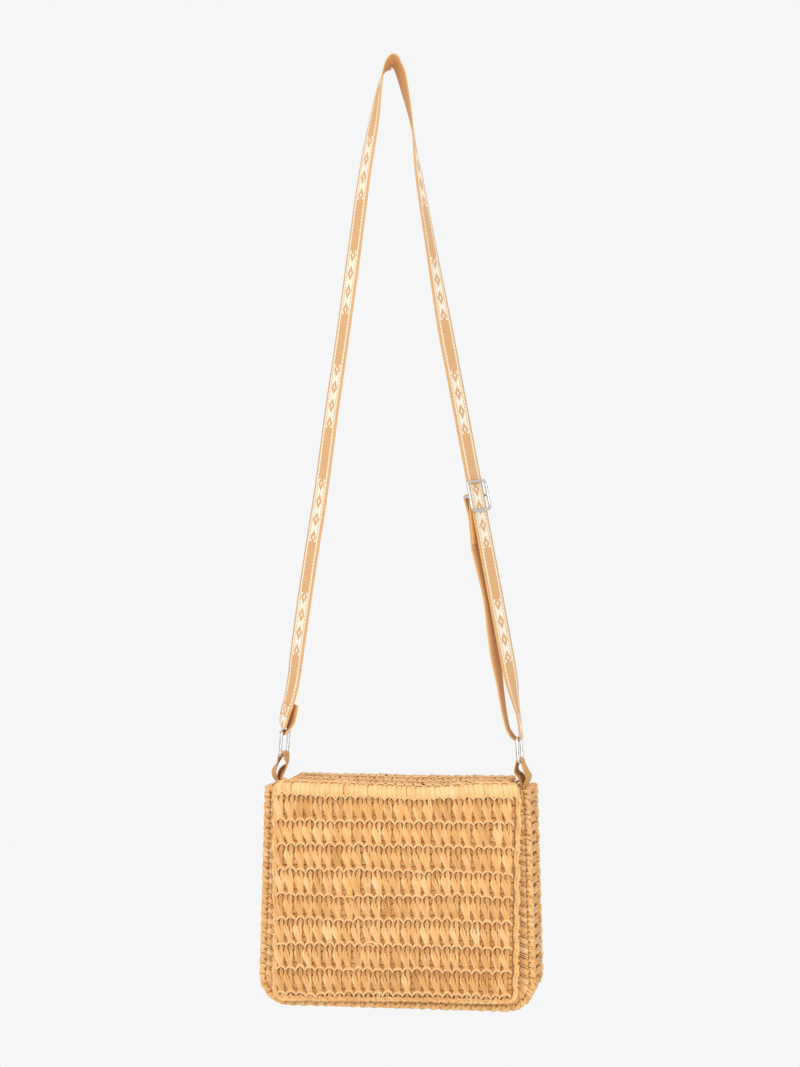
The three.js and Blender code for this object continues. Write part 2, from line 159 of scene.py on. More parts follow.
class Strands:
    """Collects swept strands into one mesh. Lengths are in millimetres."""

    def __init__(self, seed=0):
        self.points, self.fibre, self.tone = [], [], []
        self.quads, self.caps = [], []
        self.count = 0
        self.rng = np.random.default_rng(seed)

    def add(self, path, half_width, half_thick, out, tone=0.5, sides=8, looped=False):
        """path is (S, N, 3), out fits it, the half sizes fit (S, N) and tone fits (S,)."""
        path = np.asarray(path, float)
        strands, stations = path.shape[:2]
        if looped:
            along = unit(np.roll(path, -1, 1) - np.roll(path, 1, 1))
        else:
            along = unit(np.gradient(path, axis=1))
        side = unit(np.cross(along, out))
        up = np.cross(side, along)
        turn = 2 * np.pi * np.arange(sides) / sides
        w = np.broadcast_to(half_width, (strands, stations))[..., None, None]
        t = np.broadcast_to(half_thick, (strands, stations))[..., None, None]
        c, s = np.cos(turn)[:, None], np.sin(turn)[:, None]
        ring = path[:, :, None] + side[:, :, None] * w * c + up[:, :, None] * t * s
        run = np.linalg.norm(np.diff(path, axis=1), axis=2).cumsum(1)
        run = np.concatenate([np.zeros((strands, 1)), run], axis=1)
        run = run + self.rng.uniform(0, 500, (strands, 1))
        fibre = np.empty(ring.shape)
        fibre[..., 0] = run[..., None]
        fibre[..., 1] = np.cos(turn)
        fibre[..., 2] = np.sin(turn)
        tones = np.broadcast_to(np.asarray(tone, float).reshape(-1, 1, 1), ring.shape[:3])
        index = self.count + np.arange(ring[..., 0].size).reshape(ring.shape[:3])
        around = np.roll(index, -1, axis=2)
        ahead = np.roll(index, -1, axis=1) if looped else index[:, 1:]
        ahead_around = np.roll(around, -1, axis=1) if looped else around[:, 1:]
        here = index if looped else index[:, :-1]
        here_around = around if looped else around[:, :-1]
        quads = np.stack([here, ahead, ahead_around, here_around], axis=-1)
        self.quads.append(quads.reshape(-1, 4))
        if not looped:
            self.caps.append((sides, index[:, 0]))
            self.caps.append((sides, index[:, -1, ::-1]))
        self.points.append(ring.reshape(-1, 3))
        self.fibre.append(fibre.reshape(-1, 3))
        self.tone.append(tones.reshape(-1))
        self.count += ring[..., 0].size

    def build(self, name, material):
        loops = [np.concatenate(self.quads).reshape(-1)]
        sizes = [np.full(len(loops[0]) // 4, 4)]
        for sides, caps in self.caps:
            loops.append(caps.reshape(-1))
            sizes.append(np.full(len(caps), sides))
        made = mesh_of(name, np.concatenate(self.points), np.concatenate(loops), np.concatenate(sizes))
        attribute(made.data, "fibre", np.concatenate(self.fibre), "FLOAT_VECTOR", "vector")
        attribute(made.data, "tone", np.concatenate(self.tone), "FLOAT", "value")
        made.data.materials.append(material)
        return made


def attribute(mesh, name, values, kind, key):
    made = mesh.attributes.new(name, kind, "POINT")
    made.data.foreach_set(key, np.asarray(values, np.float32).ravel())


def mesh_of(name, points_mm, loops, sizes):
    mesh = bpy.data.meshes.new(name)
    mesh.vertices.add(len(points_mm))
    mesh.vertices.foreach_set("co", (np.asarray(points_mm) * MM).astype(np.float32).ravel())
    mesh.loops.add(len(loops))
    mesh.loops.foreach_set("vertex_index", loops.astype(np.int32))
    mesh.polygons.add(len(sizes))
    starts = np.concatenate([[0], np.cumsum(sizes)[:-1]])
    mesh.polygons.foreach_set("loop_start", starts.astype(np.int32))
    mesh.update(calc_edges=True)
    mesh.validate()
    mesh.polygons.foreach_set("use_smooth", np.ones(len(mesh.polygons), bool))
    made = bpy.data.objects.new(name, mesh)
    bpy.context.scene.collection.objects.link(made)
    return made


# Materials


class Value:
    """A number that a material's nodes work out, for use in sums."""

    def __init__(self, nodes, socket):
        self.nodes, self.socket = nodes, socket

    def step(operation):
        return lambda self, *others: self.nodes.math(operation, self, *others)

    __add__, __sub__, __abs__ = step("ADD"), step("SUBTRACT"), step("ABSOLUTE")
    __mul__, __truediv__, __mod__ = step("MULTIPLY"), step("DIVIDE"), step("MODULO")
    __gt__, __lt__ = step("GREATER_THAN"), step("LESS_THAN")

    def __rsub__(self, other):
        return self.nodes.math("SUBTRACT", other, self)


class Nodes:
    """A material's node tree, with short helpers."""

    def __init__(self, name):
        self.material = bpy.data.materials.new(name)
        self.material.use_nodes = True
        self.tree = self.material.node_tree
        self.surface = self.tree.nodes["Principled BSDF"]

    def link(self, value, socket):
        if isinstance(value, Value):
            self.tree.links.new(value.socket, socket)
        else:
            socket.default_value = value

    def result(self, kind, inputs, output=0, **settings):
        """What a new node gives for inputs that are named by their places or titles."""
        made = self.tree.nodes.new(kind)
        for key, value in settings.items():
            setattr(made, key, value)
        for key, value in inputs.items():
            self.link(value, made.inputs[key])
        return Value(self, made.outputs[output])

    def math(self, operation, *values):
        return self.result("ShaderNodeMath", dict(enumerate(values)), operation=operation)

    def sine(self, value, period=1.0):
        return self.math("SINE", value * (2 * math.pi / period))

    def place(self):
        return self.result("ShaderNodeTexCoord", {}, "Object")

    def attribute(self, name, output="Vector"):
        return self.result("ShaderNodeAttribute", {}, output, attribute_name=name)

    def split(self, vector):
        made = self.tree.nodes.new("ShaderNodeSeparateXYZ")
        self.link(vector, made.inputs[0])
        return [Value(self, part) for part in made.outputs]

    def scaled(self, vector, scale):
        return self.result("ShaderNodeVectorMath", {0: vector, 1: scale}, operation="MULTIPLY")

    def noise(self, vector, scale, detail=3.0, roughness=0.5):
        inputs = {"Vector": vector, "Scale": scale, "Detail": detail, "Roughness": roughness}
        return self.result("ShaderNodeTexNoise", inputs)

    def mix(self, share, a, b, blend="MIX"):
        return self.result("ShaderNodeMix", {0: share, 6: a, 7: b}, 2, data_type="RGBA", blend_type=blend)

    def remap(self, value, low, high, to_low=0.0, to_high=1.0):
        return self.result("ShaderNodeMapRange", dict(enumerate((value, low, high, to_low, to_high))))

    def bump(self, height, strength, distance):
        inputs = {"Strength": strength, "Distance": distance, "Height": height}
        self.set(Normal=self.result("ShaderNodeBump", inputs))

    def set(self, **inputs):
        for key, value in inputs.items():
            self.link(value, self.surface.inputs[key.replace("_", " ")])


def linear(r, g, b):
    """An sRGB colour of 0 to 255 as linear RGBA."""
    values = [x / 255 for x in (r, g, b)]
    return tuple(x / 12.92 if x <= 0.04045 else ((x + 0.055) / 1.055) ** 2.4 for x in values) + (1.0,)


def straw_material():
    n = Nodes("straw_yarn")
    fibre = n.attribute("fibre")
    tone = n.attribute("tone", "Fac")
    place = n.place()
    streaks = n.noise(n.scaled(fibre, (0.16, 2.6, 2.6)), 2.2, 5.0, 0.62)
    blotches = n.noise(n.scaled(fibre, (0.05, 0.25, 0.25)), 1.4, 2.0)
    clouds = n.noise(place, 26.0, 2.0)
    # The tone attribute sets each strand's lightness: it varies at random from strand to strand, and it also holds
    # painted shade on strands set low in the openings and a painted highlight on the ridge tops.
    base = n.mix(n.remap(tone, 0.0, 0.65), linear(203, 143, 76), linear(240, 187, 116))
    base = n.mix(n.remap(tone, 0.65, 1.0), base, linear(253, 216, 163))
    base = n.mix(n.remap(streaks, 0.38, 0.7, 0.0, 0.55), base, linear(206, 144, 76))
    base = n.mix(n.remap(blotches, 0.42, 0.72, 0.0, 0.45), base, linear(253, 215, 160))
    base = n.mix(n.remap(clouds, 0.35, 0.7, 0.0, 0.2), base, linear(232, 176, 104))
    n.set(Base_Color=base, Roughness=n.remap(streaks, 0.3, 0.7, 0.5, 0.72))
    n.set(Specular_IOR_Level=0.35, Sheen_Weight=0.12)
    n.bump(streaks, 0.55, 0.0006)
    return n.material


def cloth_material(name, light, dark, thread_mm):
    n = Nodes(name)
    place = n.place()
    axes = n.split(n.scaled(place, (1000.0 / thread_mm,) * 3))
    weave = n.sine(axes[0] + axes[1]) * n.sine(axes[2] + axes[1] * 0.5)
    clouds = n.noise(place, 40.0, 3.0)
    base = n.mix(n.remap(clouds, 0.3, 0.7), linear(*dark), linear(*light))
    n.set(Base_Color=n.mix(n.remap(weave, -1.0, 1.0, 0.0, 0.3), base, linear(*dark)), Roughness=0.92)
    n.bump(weave, 0.3, 0.0003)
    return n.material


def metal_material():
    n = Nodes("nickel_wire")
    place = n.place()
    fine = n.noise(n.scaled(place, (900.0, 900.0, 900.0)), 1.0, 3.0)
    wear = n.noise(place, 320.0, 2.0)
    n.set(
        Base_Color=n.mix(n.remap(wear, 0.3, 0.7), linear(198, 196, 192), linear(228, 227, 224)),
        Metallic=1.0,
        Roughness=n.remap(wear, 0.3, 0.7, 0.16, 0.3),
    )
    n.bump(fine, 0.08, 0.0002)
    return n.material


# The webbing's weave and motif, along and across it, in millimetres.
RIB_PERIOD = 1.5
CORD_PERIOD = 1.1
TWILL_PERIOD = 2.1
ZIGZAG_WIDTH = 6.0
MOTIF_PERIOD = 98.0
MOTIF_LENGTH = 54.0
MOTIF_HALF = 6.0
LOZENGE_PITCH = 15.5
STRIPE_FROM, STRIPE_TO = 6.8, 9.3
SPOT_PERIOD = 3.1


def webbing_material(name, patterned, light_tan=(240, 190, 130), deep_tan=(222, 164, 102)):
    n = Nodes(name)
    along, across, face = n.split(n.attribute("web"))
    mixed = n.noise(n.scaled(n.attribute("web"), (0.12, 0.5, 1.0)), 2.0, 4.0, 0.6)
    ribs = n.sine(along, RIB_PERIOD)
    slant = abs(n.math("FRACT", across * (1 / ZIGZAG_WIDTH)) - 0.5)
    twill = n.sine(along + slant * 8.0, TWILL_PERIOD)
    base = n.mix(n.remap(mixed, 0.3, 0.7), linear(*light_tan), linear(*deep_tan))
    weave = twill
    if patterned:
        # Groups of lozenges in a light ground, between two spotted stripes, on the outer face only.
        far = abs(across)
        step = (along + 1000 * MOTIF_PERIOD) % MOTIF_PERIOD
        off = abs((step + 4.0) % LOZENGE_PITCH - LOZENGE_PITCH / 2)
        size = far / 5.6 + off / 6.6
        lozenge = (size > 0.32) * (size < 0.98)
        ends = n.math("MINIMUM", step, MOTIF_LENGTH - step) > 0.0
        ground = (step < MOTIF_LENGTH) * (far < MOTIF_HALF) * (1.0 - lozenge) * ends
        spots = n.sine(along, SPOT_PERIOD) > -0.35
        stripe = (far > STRIPE_FROM) * (far < STRIPE_TO) * n.math("MAXIMUM", spots, 0.6)
        outer = face > 0.0
        light = n.math("MAXIMUM", ground, stripe) * outer
        threads = n.mix(n.remap(ribs, -1.0, 1.0, 0.0, 0.55), linear(254, 242, 220), linear(232, 224, 208))
        # The reverse face is plain, without the motif, and its darker tan is painted shade.
        base = n.mix(1.0 - outer, base, linear(226, 168, 98))
        base = n.mix(light, base, threads)
        weave = twill * 0.5 + light * 1.2
    height = weave + ribs * n.sine(across, CORD_PERIOD) * 0.5
    shade = n.remap(height, -1.5, 1.5, 0.82, 1.08)
    n.set(Base_Color=n.mix(1.0, base, shade, "MULTIPLY"), Roughness=0.82, Sheen_Weight=0.15)
    n.bump(height, 0.5, 0.0004)
    return n.material


straw = straw_material()
cotton = cloth_material("cotton_lining", (222, 182, 130), (200, 156, 106), 1.1)
nickel = metal_material()
jacquard = webbing_material("jacquard_webbing", True)
# The strap's plain reverse, with lighter tans: painted light on the back run and the sewn end, which lie in shade.
plain_lit_web = webbing_material("plain_webbing_lit", False, (252, 204, 140), (240, 184, 116))
tab_web = webbing_material("tab_webbing", False, (234, 172, 102), (204, 146, 78))

# Crochet

PITCH = 8.4
PERIOD = 20.5


def on_patch(patch, a, b, h):
    """Points and outward directions on a patch."""
    here = patch(a, b, h)
    return here, patch(a, b, h + 1.0) - here


def lay(strands, patch, controls, samples, tone, sides):
    """Strands through control rows of (across, along, height, half width, half thickness)."""
    run = smooth(controls, samples)
    path, out = on_patch(patch, run[..., 0], run[..., 1], run[..., 2])
    strands.add(path, run[..., 3], run[..., 4], out, tone, sides)


def run_on(strands, patch, a, b, h, half, thick, level, sides=8):
    """One strand on a patch."""
    path, out = on_patch(patch, a, b, h)
    strands.add(path[None], half, thick, out, level, sides)


def crochet(strands, patch, left, pitch, columns, lines, seed, fine=True, hem=False, fill=(1.0, 1.0)):
    """Rows of tall leaning stitches between wavy ridges at the given lines, each with a knot under every arch.

    A hem adds the tops of one more row under the last line.
    fill scales the stitches' widths in the first and last rows.
    """
    r = np.random.default_rng(seed)
    rows = len(lines) - 1
    row_fill = np.linspace(fill[0], fill[1], rows + 1)
    sides, per, samples = (8, 8, 13) if fine else (6, 6, 9)
    narrow = pitch / PITCH
    lines = np.asarray(lines, float)
    shift_a = r.normal(0, 0.45, (rows + 1, columns + 1))
    shift_b = r.normal(0, 0.45, (rows + 1, columns + 1))
    drift = np.cumsum(r.normal(0, 0.2, (rows + 1, columns + 1)), axis=1)
    shift_b += drift - np.linspace(0, 1, columns + 1) * drift[:, -1:]
    base_tone = 0.5 + 0.1 * r.normal(size=(rows + 1, 1))

    # Wavy ridges: arches that meet in cusps, with a lower strand above each. The ridge strand's light level is a
    # painted highlight, and the lower strand's darker level is painted shade.
    steps = columns * per + 1
    u = np.arange(steps) / per
    cell = np.minimum(u.astype(int), columns - 1)
    arch = np.sin(np.pi * (u - cell)) ** 0.7
    for k, line in enumerate(lines):
        sa = np.interp(u, np.arange(columns + 1), shift_a[k])
        sb = np.interp(u, np.arange(columns + 1), shift_b[k])
        size = 1 + 0.16 * r.normal(size=columns)[cell] * arch
        for lift, high, wide, thick, level in ((0.0, 1.75, 0.72, 0.75, 0.92), (-1.0, 0.9, 0.9, 0.75, 0.6)):
            b = line + sb + 1.2 - 3.3 * arch * size + lift * (0.5 + 0.5 * arch)
            h = high + 0.5 * arch + 0.12 * r.normal(size=columns + 1)[cell]
            width = wide * (1 + 0.12 * np.cos(2 * np.pi * u))
            run_on(strands, patch, left + u * pitch + sa, b, h, width, thick, level, sides)

    def stitches(rr, cc, tall, landing_a, landing_b, parts):
        """One stitch per row rr and column cc, made of the parts: (control rows, lightness)."""
        count = len(rr)
        a0 = left + cc * pitch + shift_a[rr, cc]
        b0 = lines[rr] + shift_b[rr, cc]
        fat = row_fill[rr] * (1 + 0.1 * r.normal(size=count))
        lean = 0.6 * r.normal(size=count)
        high = 0.22 * r.normal(size=count)
        tone = np.clip(base_tone[rr, 0] + 0.15 * r.normal(size=count), 0, 1)
        for rows_of, lighter in parts:
            made = []
            for across, down, h, w, t in rows_of:
                share = min(down / PERIOD, 1.0)
                middle = math.sin(math.pi * max(share, 0.0))
                a = a0 + (landing_a - a0) * share + (across + lean * middle) * narrow
                b = b0 + down * tall + (landing_b - b0) * share
                up = h + (high + 0.1 * r.normal(size=count)) * middle
                made.append(table(a, b, up, w * fat * narrow, t))
            level = np.clip(tone + lighter + 0.06 * r.normal(size=count), 0, 1)
            lay(strands, patch, np.stack(made, axis=1), samples, level, sides)

    rr, cc = np.divmod(np.arange(rows * columns), columns)
    landing_a = left + cc * pitch + 0.5 * (shift_a[rr + 1, cc] + shift_a[rr + 1, cc + 1])
    landing_b = lines[rr] + 0.5 * (shift_b[rr + 1, cc] + shift_b[rr + 1, cc + 1])
    whole = ((POST_LEFT, 0.1), (POST_MIDDLE, 0.0), (POST_RIGHT, -0.08), (KNOT, 0.12))
    stitches(rr, cc, (lines[rr + 1] - lines[rr]) / PERIOD, landing_a, landing_b, whole)
    if hem:
        cc = np.arange(columns)
        rr = np.full(columns, rows)
        tops = tuple((rows_of[:4], lighter) for rows_of, lighter in whole[:3]) + ((KNOT, 0.12),)
        stitches(rr, cc, 1.0, left + cc * pitch + shift_a[rr, cc], lines[rr] + shift_b[rr, cc], tops)

    # Strands that cross behind the openings; their low tones are painted shade seen through the openings.
    for down, height, half, level in SHADE_BACKING:
        for k in range(rows):
            scale = (lines[k + 1] - lines[k]) / PERIOD
            uu = np.linspace(0, columns, columns * 3 + 1)
            b = lines[k] + down * scale + 0.5 * np.sin(2 * np.pi * uu + k)
            b = b + np.interp(uu, np.arange(columns + 1), shift_b[k])
            run_on(strands, patch, left + uu * pitch, b, height, half, 0.45, level, 6)


# Control rows of one stitch, from the ridge above it down to the ridge below:
# (across from the cusp, down, height, half width, half thickness) in millimetres.
POST_LEFT = [
    (-0.35, 0.4, 1.0, 0.45, 0.6),
    (-0.4, 3.4, 1.35, 0.5, 0.7),
    (-0.7, 6.4, 1.6, 1.2, 0.9),
    (-0.3, 9.2, 1.75, 1.6, 0.95),
    (0.95, 12.2, 1.6, 1.35, 0.95),
    (2.1, 15.2, 1.35, 1.2, 0.9),
    (2.75, 18.0, 0.95, 1.05, 0.8),
    (3.0, 20.2, 0.4, 0.85, 0.7),
]
POST_MIDDLE = [
    (0.45, 0.5, 0.9, 0.45, 0.6),
    (0.45, 3.6, 1.25, 0.5, 0.7),
    (1.5, 6.6, 1.35, 1.25, 0.85),
    (2.2, 9.3, 1.55, 1.55, 0.9),
    (3.1, 12.3, 1.5, 1.4, 0.92),
    (3.9, 15.4, 1.2, 1.25, 0.88),
    (4.3, 18.0, 0.8, 1.05, 0.8),
    (4.5, 20.2, 0.3, 0.85, 0.7),
]
POST_RIGHT = [
    (4.2, 0.0, 0.9, 0.4, 0.5),
    (4.2, 3.4, 1.1, 0.65, 0.65),
    (4.7, 6.4, 1.15, 1.4, 0.8),
    (5.2, 9.2, 1.35, 1.7, 0.85),
    (5.05, 12.2, 1.25, 1.3, 0.85),
    (5.3, 15.2, 1.0, 1.05, 0.8),
    (5.7, 18.0, 0.6, 0.9, 0.75),
    (5.9, 20.2, 0.1, 0.75, 0.7),
]
KNOT = [
    (2.5, 7.4, 0.2, 0.7, 0.6),
    (3.1, 5.2, 1.1, 0.55, 0.6),
    (3.3, 2.2, 1.5, 0.5, 0.6),
    (3.6, 0.1, 1.65, 0.5, 0.6),
    (4.25, -0.8, 1.7, 0.52, 0.6),
    (4.9, 0.1, 1.65, 0.5, 0.6),
    (5.15, 2.2, 1.5, 0.5, 0.6),
    (5.3, 5.2, 1.1, 0.55, 0.6),
    (5.9, 7.4, 0.2, 0.7, 0.6),
]
# (down, height, half width, tone) of the strands behind; the lower the strand, the darker its tone, as painted shade.
SHADE_BACKING = ((3.2, -1.0, 3.0, 0.2), (8.6, -0.6, 2.6, 0.45), (13.2, -0.8, 2.9, 0.3), (18.2, -1.2, 2.8, 0.1))


def whipped_edge(strands, spine, inward, normal, radius, pitch, seed, width=0.95, slant=1.2, reach=3.2):
    """Stitches that wrap round an edge. spine (N, 3) runs along it; inward and normal are directions."""
    r = np.random.default_rng(seed)
    run = run_of(spine)
    count = int(run[-1] / pitch)
    at = (np.arange(count) + 0.5) * run[-1] / count + r.normal(0, pitch * 0.08, count)
    p, i, n = at_run(at, run, spine), unit(at_run(at, run, inward)), unit(at_run(at, run, normal))
    t = np.cross(i, n)
    angles = np.radians(np.array([-150, -110, -70, -35, 0, 35, 70, 110, 150]))
    path, out = [], []
    for k, angle in enumerate(angles):
        share = k / (len(angles) - 1) - 0.5
        grow = radius * (1 + 0.06 * r.normal(size=(count, 1)))
        away = -i * math.cos(angle) + n * math.sin(angle)
        stretch = reach * max(0.0, (abs(angle) - 1.2)) / 1.4
        path.append(p + away * grow + i * stretch + t * slant * share * 2)
        out.append(away)
    path, out = np.stack(path, axis=1), np.stack(out, axis=1)
    smoothed = smooth(np.concatenate([path, out], axis=2), 13)
    tone = np.clip(0.55 + 0.16 * r.normal(size=count), 0, 1)
    strands.add(smoothed[..., :3], width, 0.62, smoothed[..., 3:], tone, 6)
    return at


def rope(strands, spine, normal, radius, twist, seed, level=0.6, plies=2, sides=8, step=2.0):
    """Plies twisted about a spine."""
    r = np.random.default_rng(seed)
    run = run_of(spine)
    at = np.linspace(0, run[-1], max(4, int(run[-1] / step)))
    p = at_run(at, run, spine)
    n = unit(at_run(at, run, normal))
    side = unit(np.cross(unit(np.gradient(p, axis=0)), n))
    for k in range(plies):
        phase = 2 * np.pi * (at / twist + k / plies) + 0.25 * np.cumsum(r.normal(0, 0.2, len(at)))
        path = p + (side * np.cos(phase)[:, None] + n * np.sin(phase)[:, None]) * radius * 0.55
        strands.add(path[None], radius * 0.72, radius * 0.62, n[None], level, sides)


# Bag outline


def outline_run(inset, step=2.0):
    """The bag's outline from the upper left round the bottom to the upper right.

    It gives points (N, 2), inward directions and how far along each point is.
    """
    line = [[[BAG_X - HALF_TOP + inset, RIM_Z]]]
    for side, start in ((-1, 180), (1, 270)):
        centre = (BAG_X + side * (HALF_BOTTOM - CORNER_R), BOTTOM_Z + CORNER_R)
        line.append(arc(centre, CORNER_R - inset, start, start + 90, 19))
    line = np.concatenate(line + [[[BAG_X + HALF_TOP - inset, RIM_Z]]])
    run = run_of(line)
    at = np.linspace(0, run[-1], int(run[-1] / step) + 1)
    points = at_run(at, run, line)
    along = unit(np.gradient(points, axis=0))
    inward = np.stack([-along[:, 1], along[:, 0]], axis=1)
    return points, inward, at


def lifted(points, depth):
    return table(points[..., 0], depth, points[..., 1])


def bulge(x, z, amount):
    """How far a panel's middle stands out, from its place on the bag's front."""
    u = np.clip((x - BAG_X) / HALF_BOTTOM, -1, 1)
    v = np.clip((z - BOTTOM_Z) / (RIM_Z - BOTTOM_Z), 0, 1)
    return amount * (1 - u**2) * np.clip(4 * v * (1 - v), 0, 1) ** 0.7


# Flap

BACK_RADIUS = 3.6
FOLD_RADIUS = 6.0
flap_front_y = flap_low[1] + 2.2
flap_back_y = pivot("flap_lift")[1]
flap_top_z = node_box("flap_top_panel")[1][2] - 1.4
FLAP_END_Z = flap_low[2] + 0.2
FLAP_HALF = (flap_high[0] - flap_low[0]) / 2
FRONT_SINK = 2.0
CORNER_ROUND = 10.0
FRONT_BULGE = 3.0
BACK_BULGE = 3.0
INNER_BULGE = 1.0  # of the front panel, under the flap


def flap_profile():
    """The flap's profile (y, z) from the back fold over the top and down the front, and where its front starts."""
    back = np.array([[flap_back_y + 3.5, flap_top_z - 9], [flap_back_y + 3.2, flap_top_z - 4]])
    back_arc = arc((flap_back_y - 0.5, flap_top_z - BACK_RADIUS), BACK_RADIUS, 20, 90, 6)
    crest_z = flap_top_z - FRONT_SINK
    front_arc = arc((flap_front_y + FOLD_RADIUS, crest_z - FOLD_RADIUS), FOLD_RADIUS, 90, 180, 10)
    down = np.array([[flap_front_y, z] for z in np.linspace(crest_z - FOLD_RADIUS - 6, FLAP_END_Z, 20)])
    line = np.concatenate([back, back_arc, front_arc, down])
    run = run_of(line)
    crest = run[len(back) + len(back_arc) + len(front_arc) // 2]
    return line, run, crest


profile_line, profile_run, profile_crest = flap_profile()
FLAP_END_B = profile_run[-1] - profile_crest
PROFILE_STEP = 1.5
TOP_EASE = 16.0  # how far behind the fold the flap has narrowed to go between the tabs
TOP_NARROWER = 10.5


def flap_patch(a, b, h):
    """a is sideways from the flap's middle, b is down from the fold's crest along the cloth, h is outwards.

    The cloth isn't flat: it bulges, waves along the fold, drifts to the left lower down, and its lower edge is uneven.
    """
    s = b + profile_crest
    y, z = columns_at(s, profile_run, profile_line)
    ahead, behind = (columns_at(s + way * PROFILE_STEP, profile_run, profile_line) for way in (1, -1))
    ahead_y, ahead_z = ahead[0] - behind[0], ahead[1] - behind[1]
    size = np.maximum(np.hypot(ahead_y, ahead_z), 1e-6)
    ny, nz = ahead_z / size, -ahead_y / size
    half = FLAP_HALF - TOP_NARROWER * np.clip(-b / TOP_EASE, 0, 1)
    x = BAG_X + a * half / FLAP_HALF
    down = np.clip(b / FLAP_END_B, 0, 1)
    right = 0.5 + a / (2 * FLAP_HALF)
    x = x + (1.2 + 2.4 * a / FLAP_HALF) * np.clip(b / 12.0, 0, 1) + (1.2 - 4.4 * np.sqrt(down)) * right
    round_off = np.clip((b - FLAP_END_B + CORNER_ROUND) / CORNER_ROUND, 0, 1)
    pulled = (1 - np.sqrt(np.clip(1 - round_off**2, 0, 1))) * CORNER_ROUND * 0.8
    x = x - a / FLAP_HALF * pulled * np.abs(a / FLAP_HALF) ** 3
    y = y + h * ny - bulge(x, z, FRONT_BULGE) * np.clip(b / 30.0, 0, 1)
    wave = 1.3 * np.cos(np.pi * a / FLAP_HALF) + 0.5 * np.sin(a / 17.0)
    z = z + h * nz - wave * np.clip(1 - b / 40.0, 0, 1) * np.clip(1.2 + b / 60.0, 0, 1)
    z = z + (1.1 * np.sin(a / 41.0 + 0.8) - 0.9) * down + 2.6 * down**6 * np.clip(right, 0, 1) ** 12
    return table(x, y, z)


FIRST_LINE = 8.0
FRONT_LINES = 9
lines_front = FIRST_LINE + PERIOD * np.arange(FRONT_LINES)
FLAP_COLUMNS = 24
SIDE_CHAIN = 2.8
flap_pitch = 2 * (FLAP_HALF - SIDE_CHAIN) / (FLAP_COLUMNS + 0.3)
flap_left = -FLAP_HALF + SIDE_CHAIN

front = Strands(1)
crochet(front, flap_patch, flap_left, flap_pitch, FLAP_COLUMNS, lines_front, 11, hem=True, fill=(1.16, 0.88))


def fold_band(strands, start, stop, seed):
    """Flat stitch tops that lie close together over the fold."""
    r = np.random.default_rng(seed)
    count = FLAP_COLUMNS * 2 + 2
    a = np.linspace(-FLAP_HALF + 3.5, FLAP_HALF - 3.5, count) + r.normal(0, 0.25, count)
    ends = r.normal(0, 0.45, (count, 2))
    high = 0.16 * r.normal(size=count)
    rows_of = []
    for s in np.linspace(0, 1, 7):
        b = start + (stop - start) * s + ends[:, 0] * (1 - s) + ends[:, 1] * s
        up = 0.8 + 0.75 * math.sin(math.pi * s) + high
        rows_of.append(table(a + 1.2 * s, b, up, 2.45 - 0.25 * abs(2 * s - 1), 0.85))
    lay(strands, flap_patch, np.stack(rows_of, axis=1), 11, np.clip(0.86 + 0.07 * r.normal(size=count), 0, 1), 8)


fold_band(front, -3.0, FIRST_LINE - 0.4, 21)

# Edges of the flap's front: turning chains down the sides, a lower row, and a fine edge all round.
side_b = np.linspace(-2, 180, 110)
r = np.random.default_rng(6)
for side in (-1, 1):
    waves = np.interp(side_b, np.linspace(-2, 180, 19), r.normal(0, 0.35, 19))
    turns = 2 * np.pi * (side_b - FIRST_LINE) / PERIOD
    for inset, level, half, phase in ((1.0, 0.7, 1.2, 0.0), (3.0, 0.6, 1.2, 0.9)):
        a = side * (FLAP_HALF - inset + waves + 0.5 * np.cos(turns + phase) + 0.25 * np.sin(3 * turns + phase))
        h = 0.9 - 0.12 * inset + 0.3 * np.sin(turns * 2 + phase * 2) + 0.15 * np.sin(5 * turns)
        run_on(front, flap_patch, a, side_b, h, half, 0.85, level)
    a = side * (FLAP_HALF - 0.6) + 0.2 * np.sin(side_b)
    path, out = on_patch(flap_patch, a, side_b, -0.3)
    inner = flap_patch(a - side * 4.0, side_b, -0.3)
    whipped_edge(front, path, inner - path, out, 1.2, 5.2, 31 + side, width=1.0, slant=1.3, reach=1.2)
low_a = np.linspace(-FLAP_HALF + 2, FLAP_HALF - 2, 120)
for rise, level, half in ((1.0, 0.7, 1.15), (2.6, 0.5, 1.1)):
    b = FLAP_END_B - rise + 0.4 * np.sin(2 * np.pi * low_a / PITCH + rise) + np.interp(
        low_a, np.linspace(-FLAP_HALF, FLAP_HALF, 16), r.normal(0, 0.35, 16)
    )
    run_on(front, flap_patch, low_a, b, 0.7 + 0.35 * np.cos(2 * np.pi * low_a / PITCH + rise), half, 0.85, level)
path, out = on_patch(flap_patch, low_a, FLAP_END_B - 0.4, -0.3)
inner = flap_patch(low_a, FLAP_END_B - 5.0, -0.3)
whipped_edge(front, path, inner - path, out, 1.2, 5.0, 37, width=1.0, slant=1.0, reach=1.2)

# One loop that stands out wider than the rest.
t = np.linspace(0, 1, 17)
loose_b = FIRST_LINE + 6 * PERIOD + 1.2 - 4.6 * np.sin(np.pi * t) ** 0.9
run_on(front, flap_patch, -27.0 + 14.0 * t, loose_b, 2.2 + 0.9 * np.sin(np.pi * t), 0.85, 0.8, 0.95)

flap_front_crochet = front.build("flap_front_crochet", straw)

